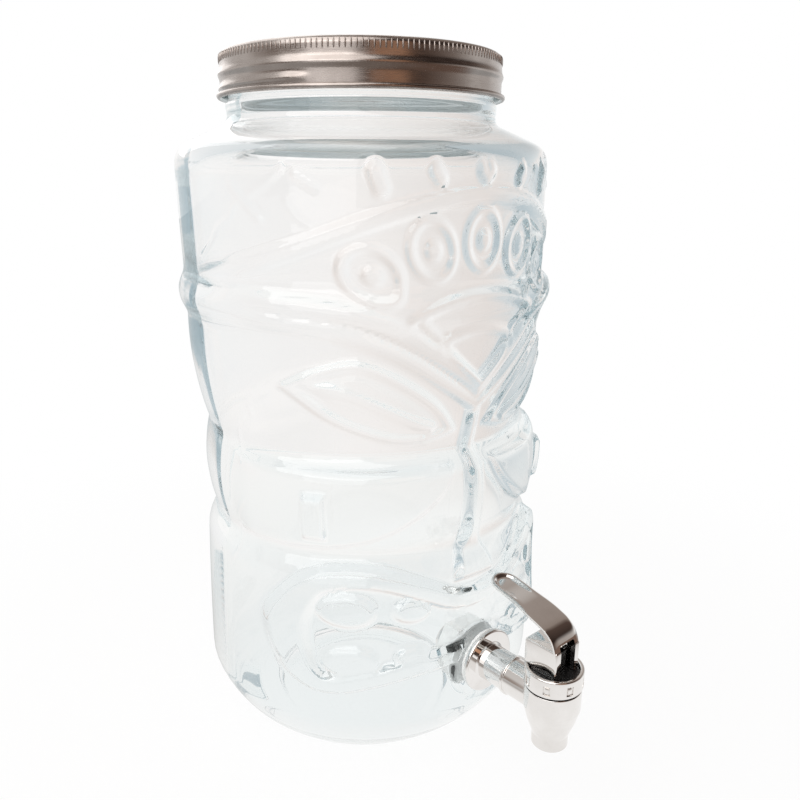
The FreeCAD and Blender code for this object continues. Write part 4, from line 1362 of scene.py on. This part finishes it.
    def latches(self) -> bpy.types.Object:
        """Small latch tongues behind the snap windows.

        Returns:
            The tongues as one piece.
        """
        work = bmesh.new()
        for part in self.round_cup("latch", (-0.9, -12.25, 66.9), (0.9, -11.6, 69.6), 0.2):
            work.from_mesh(part.data)
            bpy.data.objects.remove(part)
        mesh = bpy.data.meshes.new("tap_latches")
        work.to_mesh(mesh)
        work.free()
        tidy_mesh(mesh, 40.0)
        return linked("tap_latches", mesh)

    def lever_side(self) -> list[tuple[float, float]]:
        """Side view of the lever's outer line: toe, front plate, bend and pad tip.

        Returns:
            Forward place from the cup's axis, and height, from the toe to the tip.
        """
        foot = self.lever_foot
        plate = [(-6.4, foot), (-6.4, foot + 4.5), (-6.4, foot + 9.0)]
        bend = [(-6.0, foot + 12.6), (-4.0, foot + 17.2), (-0.2, foot + 20.6), (4.6, foot + 22.6)]
        pad = [(11.5, foot + 24.7), (19.0, foot + 26.6), (26.5, foot + 28.2), (34.0, foot + 29.5)]
        return through([*plate, *bend, *pad], 8)

    def lever(self) -> bpy.types.Object:
        """Lever: plate and arm swept along the side view, with a dished pad, joined to its hollow foot.

        Returns:
            The lever.
        """
        path = [Vector((0, -self.reach + y, z)) for y, z in self.lever_side()]
        arm = self.sweep(path, self.lever_thickness)
        foot, half = self.lever_foot, self.lever_width / 2
        gap, axis = self.lever_gap / 2, -self.reach
        heel = block("lever_heel", (-half, axis - 6.4, foot + 1.55), (half, axis + 10.0, foot + 12.7), 0.8, 4)
        core = lathe("lever_core", [(0, foot), (10.1, foot), (10.1, foot + 4), (0, foot + 4)], 64, self.upright_axis())
        trim = block("trim", (-half + 0.3, axis - 6.3, foot - 1), (half - 0.3, axis + 9.6, foot + 6), 0.0)
        core = combined("lever_core", core, [(trim, "INTERSECT")])
        hollow = block("hollow", (-gap, axis - 3.9, foot - 3), (gap, axis + 8.0, foot + 10.3), 0.6, 2)
        window = block("window", (-gap, axis - 9.0, foot - 3), (gap, axis - 2.0, foot + 14.5), 0.8, 3)
        return combined("lever_chrome", arm, [(heel, "UNION"), (core, "UNION"), (hollow, "DIFFERENCE"),
                                              (window, "DIFFERENCE")], 35.0)

    def sweep(self, path: Sequence[Vector], thick: float) -> bpy.types.Object:
        """Closed bar along a side view, crowned across, with a round end and a dish near it.

        Args:
            path: Outer line, in millimetres, from the toe to the pad's tip.
            thick: Thickness in millimetres.

        Returns:
            The bar.
        """
        length = np.concatenate([[0.0], np.cumsum([(b - a).length for a, b in zip(path, path[1:])])])
        total, tip = length[-1], self.lever_width / 2 - self.lever_taper
        places = np.concatenate([np.linspace(0, total - tip, 80)[:-1],
                                 total - tip + tip * np.sin(np.linspace(0, math.pi / 2, 22))])
        spots = np.stack([np.interp(places, length, [p[axis] for p in path]) for axis in range(3)], axis=-1)
        across = np.sin(np.linspace(-math.pi / 2, math.pi / 2, 33))
        verts, rows = [], len(places)
        for layer in (0.0, 1.0):
            for index in range(rows):
                ahead = spots[min(index + 1, rows - 1)] - spots[max(index - 1, 0)]
                outward = Vector((0, -ahead[2], ahead[1])).normalized()
                left = total - places[index]
                half = tip + self.lever_taper * float(smooth(tip + 8, tip + 22, np.float64(left)))
                wide = half if left > tip else max(math.sqrt(max(tip ** 2 - (tip - left) ** 2, 0.0)), 0.05)
                for share in across:
                    edge = 1.0 - abs(share) ** 8
                    rim = half - math.hypot(wide * share, max(tip - left, 0.0))
                    dish = self.dish * float(smooth(0.7, 3.0, np.float64(rim)) * smooth(22.0, 9.0, np.float64(left)))
                    inset = 0.45 * (edge - 1.0) - dish
                    if layer:
                        inset = -thick * (0.3 + 0.7 * edge ** 0.5) - dish * 0.5
                    verts.append((Vector(spots[index]) + Vector((wide * share, 0, 0)) + outward * inset) * MM)
        wide = len(across)
        faces = []
        for layer in (0, 1):
            for row in range(rows - 1):
                for column in range(wide - 1):
                    a = (layer * rows + row) * wide + column
                    faces.append((a, a + 1, a + wide + 1, a + wide))
        other = rows * wide
        for row in range(rows - 1):
            for column in (0, wide - 1):
                a = row * wide + column
                faces.append((a, a + wide, other + a + wide, other + a))
        for row in (0, rows - 1):
            for column in range(wide - 1):
                a = row * wide + column
                faces.append((a, a + 1, other + a + 1, other + a))
        return new_piece("lever_arm", verts, faces, 50.0)

    def spring(self) -> bpy.types.Object:
        """Closing spring: one drawn wire with a closed coil at each end, between the stem's collar and the bonnet.

        Returns:
            The spring.
        """
        wire, radius, (low, high) = self.wire_radius, self.coil_radius, self.coil_span
        path, last = [], self.coil_turns - 1
        for step in range(self.coil_turns * 24 + 1):
            turns = step / 24
            share = min(max((turns - 1) / (last - 1), 0.0), 1.0)
            climb = low + wire + (high - low - 2 * wire - 1.7) * share
            climb += 0.85 * (min(turns, 1.0) + max(turns - last, 0.0))
            angle = 2 * math.pi * turns
            path.append(Vector((radius * math.cos(angle), radius * math.sin(angle) - self.reach, climb)))
        return tube("valve_spring_wire", path, wire, 10)

    def dress(self) -> None:
        """Build the tap, its lever and the pieces inside."""
        chrome, plastic, steel, silicone = CHROME.material(), BLACK_ACETAL_AND_GAP_SHADE.material(), STEEL.material(), SILICONE.material()
        body = combined("tap_chrome", self.cup(), [(self.shank(), "UNION"), *self.bores()], 35.0)
        settle(body, chrome, Body.JAR, Slot.CHROME, "tap_body")
        # Painted shade: the groove under the snap band gets the black plastic, a dark line standing in for the shadow
        # in the gap.
        body.data.materials.append(plastic)
        for face in body.data.polygons:
            x, y, z = face.center / MM
            sunk = math.hypot(x, y + self.reach) < self.cup_radius - 0.2
            if sunk and self.band_low - 0.9 < z < self.band_low + 0.1:
                face.material_index = 1
        settle(self.latches(), chrome, Body.JAR, Slot.CHROME)
        settle(self.lever(), chrome, Body.LEVER, Slot.CHROME, "tap_lever")
        for name in ("tap_outer_washer", "tap_inner_washer", "bonnet_seal", "valve_seat_cup"):
            dress_node(name, silicone)
        for name in ("tap_bonnet", "valve_stem"):
            dress_node(name, plastic)
        dress_node("tap_lock_nut", SATIN.material())
        dress_node("lever_pin", steel)
        spring = self.spring()
        settle(spring, steel, Body.JAR, Slot.STEEL, "valve_spring")
        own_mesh(spring)


# Studio


@dataclass
class Studio:
    """Pale floor, soft light and the camera of the photograph."""

    floor_colour: str = "f2f2f2"
    camera_place: tuple[float, float, float] = (-0.2314, -0.2909, 0.2696)
    camera_turn: float = -38.5
    camera_aside: float = 2.709
    camera_pitch: float = 16.5
    camera_roll: float = 0.207
    lens: float = 34.87
    bounces: tuple[int, int, int] = (96, 80, 64)
    corner_aim: tuple[float, float] = (0.55, 0.45)

    def build(self) -> None:
        """Set the floor, world, lamps and camera, with enough bounces for light that runs inside the glass."""
        paths = bpy.context.scene.cycles
        paths.max_bounces, paths.glossy_bounces, paths.transmission_bounces = self.bounces
        self.floor()
        self.world()
        self.lamp("key", (-0.75, -0.25, 1.05), (1.3, 1.3), 10.0)
        self.lamp("strip", (-0.90, -0.50, 0.45), (0.75, 0.75), 2.0)
        self.lamp("back", (0.25, 0.95, 0.95), (1.2, 1.2), 5.0)
        self.lamp("ember", (-0.30, -0.92, 0.55), (0.5, 0.5), 0.45, "ffc49c")
        self.camera()

    def floor(self) -> None:
        """Lay a wide pale floor: white to the camera away from the object, which keeps its shadow near it."""
        bpy.ops.mesh.primitive_plane_add(size=8.0)
        plane = bpy.context.object
        plane.name = "floor"
        material, tree = fresh_material("white_paper_sweep")
        place = node(tree, "ShaderNodeTexCoord").outputs["Object"]
        fibre = node(tree, "ShaderNodeTexNoise", {"Vector": place}, {"Scale": 900.0, "Detail": 3.0})
        pale = node(tree, "ShaderNodeValToRGB", {"Fac": fibre}, stops=[
            (0.3, linear("eeeeee")), (0.7, linear(self.floor_colour))])
        path = node(tree, "ShaderNodeLightPath")
        bent = self.past_glass(tree, path)
        # Metal mirrors a pale sheet under the object and warm boards before it.
        bare = node(tree, "ShaderNodeMath", {1: bent}, {0: 1.0}, operation="SUBTRACT")
        ahead = node(tree, "ShaderNodeVectorMath", {0: place}, {1: self.towards_camera()}, operation="DOT_PRODUCT")
        front = node(tree, "ShaderNodeMapRange", {"Value": ahead},
                     {"From Min": -0.22, "From Max": 0.10}, interpolation_type="SMOOTHSTEP")
        from_tap = node(tree, "ShaderNodeVectorMath", {0: place}, {1: (0.0, -0.125, 0.0)}, operation="DISTANCE")
        off_sheet = node(tree, "ShaderNodeMapRange", {"Value": from_tap},
                         {"From Min": 0.11, "From Max": 0.28}, interpolation_type="SMOOTHSTEP")
        dark = node(tree, "ShaderNodeMath", {0: front, 1: off_sheet}, operation="MULTIPLY")
        away = node(tree, "ShaderNodeVectorMath", {0: place}, operation="LENGTH")
        reach = node(tree, "ShaderNodeMath", {0: away}, {1: 0.4}, operation="ADD")
        aside = node(tree, "ShaderNodeVectorMath", {0: place}, {1: self.right()}, operation="DOT_PRODUCT")
        slide = node(tree, "ShaderNodeMath", {0: aside, 1: reach}, operation="DIVIDE")
        side = node(tree, "ShaderNodeMapRange", {"Value": slide}, {"From Min": -0.5, "From Max": 0.5})
        boards = node(tree, "ShaderNodeValToRGB", {"Fac": side}, stops=[
            (0.0, linear("c4c1bf")), (0.5, linear("a39a94")), (1.0, linear("7a6459"))])
        mirrored = node(tree, "ShaderNodeMath", {0: path.outputs["Is Glossy Ray"], 1: bare}, operation="MULTIPLY")
        sheet = node(tree, "ShaderNodeValToRGB", {"Fac": front}, stops=[
            (0.55, linear("d0d3d4")), (0.92, linear("fbfaf9"))])
        mirror = node(tree, "ShaderNodeMix", {0: dark, 6: sheet, 7: boards}, data_type="RGBA")
        # The camera sees white paper, which fades to plain white away from the object.
        paper = node(tree, "ShaderNodeBsdfPrincipled", {"Base Color": pale}, {"Roughness": 0.9})
        far = node(tree, "ShaderNodeMapRange", {"Value": away},
                   {"From Min": 0.14, "From Max": 0.45, "To Min": 0.93, "To Max": 1.0},
                   interpolation_type="SMOOTHSTEP")
        open_share = node(tree, "ShaderNodeMath", {0: path.outputs["Is Camera Ray"], 1: far}, operation="MULTIPLY")
        bent_share = node(tree, "ShaderNodeMath", {0: mirrored, 1: bent}, operation="MAXIMUM")
        share = node(tree, "ShaderNodeMath", {0: open_share, 1: bent_share}, operation="MAXIMUM")
        # Glass bends a pale floor into view, which turns into the backdrop farther off.
        near = node(tree, "ShaderNodeMapRange", {"Value": away}, {"From Min": 0.55, "From Max": 0.12},
                    interpolation_type="SMOOTHSTEP")
        under = node(tree, "ShaderNodeValToRGB", {"Fac": away}, stops=[
            (0.05, linear("eff3f3")), (0.11, linear("f4f6f5")), (0.35, linear("f9f9f7"))])
        seen = node(tree, "ShaderNodeMix", {0: near, 6: self.backdrop(tree, slide.outputs["Value"]), 7: under},
                    data_type="RGBA")
        before = node(tree, "ShaderNodeValToRGB", {"Fac": ahead}, stops=[
            (0.06, (1, 1, 1, 1)), (0.20, linear("e6ecee"))])
        seen = node(tree, "ShaderNodeMix", {6: seen, 7: before}, {0: 1.0}, data_type="RGBA", blend_type="MULTIPLY")
        shown = node(tree, "ShaderNodeMix", {0: mirrored, 7: mirror}, {6: (1, 1, 1, 1)}, data_type="RGBA")
        white = node(tree, "ShaderNodeMix", {0: bent, 6: shown, 7: seen}, data_type="RGBA")
        glow = node(tree, "ShaderNodeEmission", {"Color": white}, {"Strength": 1.0})
        mixed = node(tree, "ShaderNodeMixShader", {0: share, 1: paper, 2: glow})
        node(tree, "ShaderNodeOutputMaterial", {"Surface": mixed})
        plane.data.materials.append(material)

    def past_glass(self, tree: bpy.types.NodeTree, path: bpy.types.Node) -> bpy.types.NodeSocket:
        """One for a ray that has gone through glass anywhere on its way, else nought.

        Args:
            tree: Node tree to add to.
            path: Its Light Path node.

        Returns:
            The share's output.
        """
        went = node(tree, "ShaderNodeMath", {0: path.outputs["Transmission Depth"],
                                             1: path.outputs["Is Transmission Ray"]}, operation="MAXIMUM")
        return node(tree, "ShaderNodeMath", {0: went}, {1: 1.0}, operation="MINIMUM").outputs["Value"]

    def backdrop(self, tree: bpy.types.NodeTree, sideways: bpy.types.NodeSocket) -> bpy.types.NodeSocket:
        """White behind the jar, which turns warm and then a dim cool grey towards the right.

        Args:
            tree: Node tree to add to.
            sideways: Place towards the right of the picture, from -1 to 1.

        Returns:
            The colour's output.
        """
        spread = node(tree, "ShaderNodeMapRange", {"Value": sideways}, {"From Min": -0.8, "From Max": 0.8})
        return node(tree, "ShaderNodeValToRGB", {"Fac": spread}, stops=[
            (0.0, linear("eef1f2")), (0.30, linear("fdfcfb")), (0.48, linear("f9f6f4")),
            (0.63, linear("e9e1dc")), (0.74, linear("d4dadc")), (1.0, linear("b9c6cc"))]).outputs["Color"]

    def right(self) -> tuple[float, float, float]:
        """Level direction to the right of the picture."""
        towards = self.towards_camera()
        return (-towards[1], towards[0], 0.0)

    def towards_camera(self) -> tuple[float, float, float]:
        """Level direction from the jar to the camera."""
        turn = math.radians(self.camera_turn)
        return (math.sin(turn), -math.cos(turn), 0.0)

    def world(self) -> None:
        """White to the camera; a warm dim room for metal to mirror; pale tones for what the glass bends into view."""
        world = bpy.data.worlds.new("studio")
        bpy.context.scene.world = world
        world.use_nodes = True
        tree = world.node_tree
        tree.nodes.clear()
        place = node(tree, "ShaderNodeTexCoord").outputs["Generated"]
        facing = node(tree, "ShaderNodeVectorMath", {0: place}, {1: self.towards_camera()}, operation="DOT_PRODUCT")
        share = node(tree, "ShaderNodeMapRange", {"Value": facing},
                     {"From Min": -1.0, "From Max": 1.0, "To Min": 0.0, "To Max": 1.0})
        # Metal mirrors a room that is white behind the object and dim and warm on the camera's side.
        level = node(tree, "ShaderNodeValToRGB", {"Fac": share}, stops=[
            (0.0, (1, 1, 1, 1)), (0.42, linear("f1efed")), (0.60, linear("a0948d")), (0.80, linear("6b5a51")),
            (1.0, linear("3a302c"))])
        sideways = node(tree, "ShaderNodeVectorMath", {0: place}, {1: self.right()}, operation="DOT_PRODUCT")
        across, ahead = self.corner_aim
        aim = tuple(across * r + ahead * t for r, t in zip(self.right(), self.towards_camera()))
        corner = node(tree, "ShaderNodeVectorMath", {0: place}, {1: aim}, operation="DOT_PRODUCT")
        side = node(tree, "ShaderNodeMapRange", {"Value": corner}, {"From Min": -1.0, "From Max": 1.0})
        upper = node(tree, "ShaderNodeValToRGB", {"Fac": side}, stops=[
            (0.20, linear("dedbd9")), (0.36, linear("cbc6c2")), (0.46, linear("a1968f")),
            (0.61, linear("93867e")), (0.67, linear("54453e")), (0.80, linear("332925"))])
        height = node(tree, "ShaderNodeSeparateXYZ", {"Vector": place}).outputs["Z"]
        climb = node(tree, "ShaderNodeMapRange", {"Value": height}, {"From Min": 0.10, "From Max": 0.42},
                     interpolation_type="SMOOTHSTEP")
        room = node(tree, "ShaderNodeMix", {0: climb, 6: level, 7: upper}, data_type="RGBA")
        # Glass bends the backdrop into view, a little cooler from the camera's side and from above.
        front = node(tree, "ShaderNodeValToRGB", {"Fac": share}, stops=[
            (0.46, linear("ffffff")), (0.58, linear("e8edef")), (0.72, linear("d8e1e4")),
            (1.0, linear("cfd8db"))])
        ceiling = node(tree, "ShaderNodeValToRGB", {"Fac": height}, stops=[
            (0.24, linear("ffffff")), (0.70, linear("e4e9eb")), (1.0, linear("d2dadd"))])
        front = node(tree, "ShaderNodeMix", {6: front, 7: ceiling}, {0: 1.0}, data_type="RGBA", blend_type="MULTIPLY")
        through_glass = node(tree, "ShaderNodeMix", {6: self.backdrop(tree, sideways.outputs["Value"]), 7: front},
                             {0: 1.0}, data_type="RGBA", blend_type="MULTIPLY")
        path = node(tree, "ShaderNodeLightPath")
        bent = node(tree, "ShaderNodeMix", {0: self.past_glass(tree, path), 6: room, 7: through_glass},
                    data_type="RGBA")
        seen = node(tree, "ShaderNodeMix", {0: path.outputs["Is Camera Ray"], 6: bent},
                    {7: (1, 1, 1, 1)}, data_type="RGBA")
        glow = node(tree, "ShaderNodeBackground", {"Color": seen}, {"Strength": 1.0})
        node(tree, "ShaderNodeOutputWorld", {"Surface": glow})

    def lamp(self, name: str, place: tuple[float, float, float], size: tuple[float, float], power: float,
             colour: str = "ffffff") -> None:
        """Hang a soft lamp that looks at the jar.

        Args:
            name: Lamp name.
            place: Position in metres.
            size: Width and height in metres.
            power: Watts.
            colour: Colour of its light.
        """
        data = bpy.data.lights.new(name, "AREA")
        data.shape = "RECTANGLE"
        data.size, data.size_y = size
        data.energy = power
        data.color = linear(colour)[:3]
        held = linked(name, data)
        held.location = place
        held.visible_transmission = False
        held.rotation_euler = (Vector((0, 0, 0.16)) - Vector(place)).to_track_quat("-Z", "Y").to_euler()

    def camera(self) -> None:
        """Stand the camera where the photograph was taken."""
        data = bpy.data.cameras.new("photo_camera")
        data.lens = self.lens
        data.sensor_width = 36.0
        held = linked("photo_camera", data)
        heading, pitch = math.radians(self.camera_aside - self.camera_turn), math.radians(self.camera_pitch)
        forward = Vector((math.sin(heading), math.cos(heading), 0))
        look = Vector((forward.x * math.cos(pitch), forward.y * math.cos(pitch), -math.sin(pitch)))
        turned = look.to_track_quat("-Z", "Y").to_matrix() @ Matrix.Rotation(math.radians(self.camera_roll), 3, "Z")
        held.matrix_world = Matrix.Translation(self.camera_place) @ turned.to_4x4()
        bpy.context.scene.camera = held


def main() -> None:
    """Dress the dispenser and its studio."""
    logging.basicConfig(level=logging.INFO, format="%(name)s: %(message)s")
    bpy.context.scene.view_settings.view_transform = "Standard"
    GlassJar().dress()
    TinLid().dress()
    dress_node("lid_liner", LINER.material())
    Tap().dress()
    Studio().build()


if __name__ == "__main__":
    main()
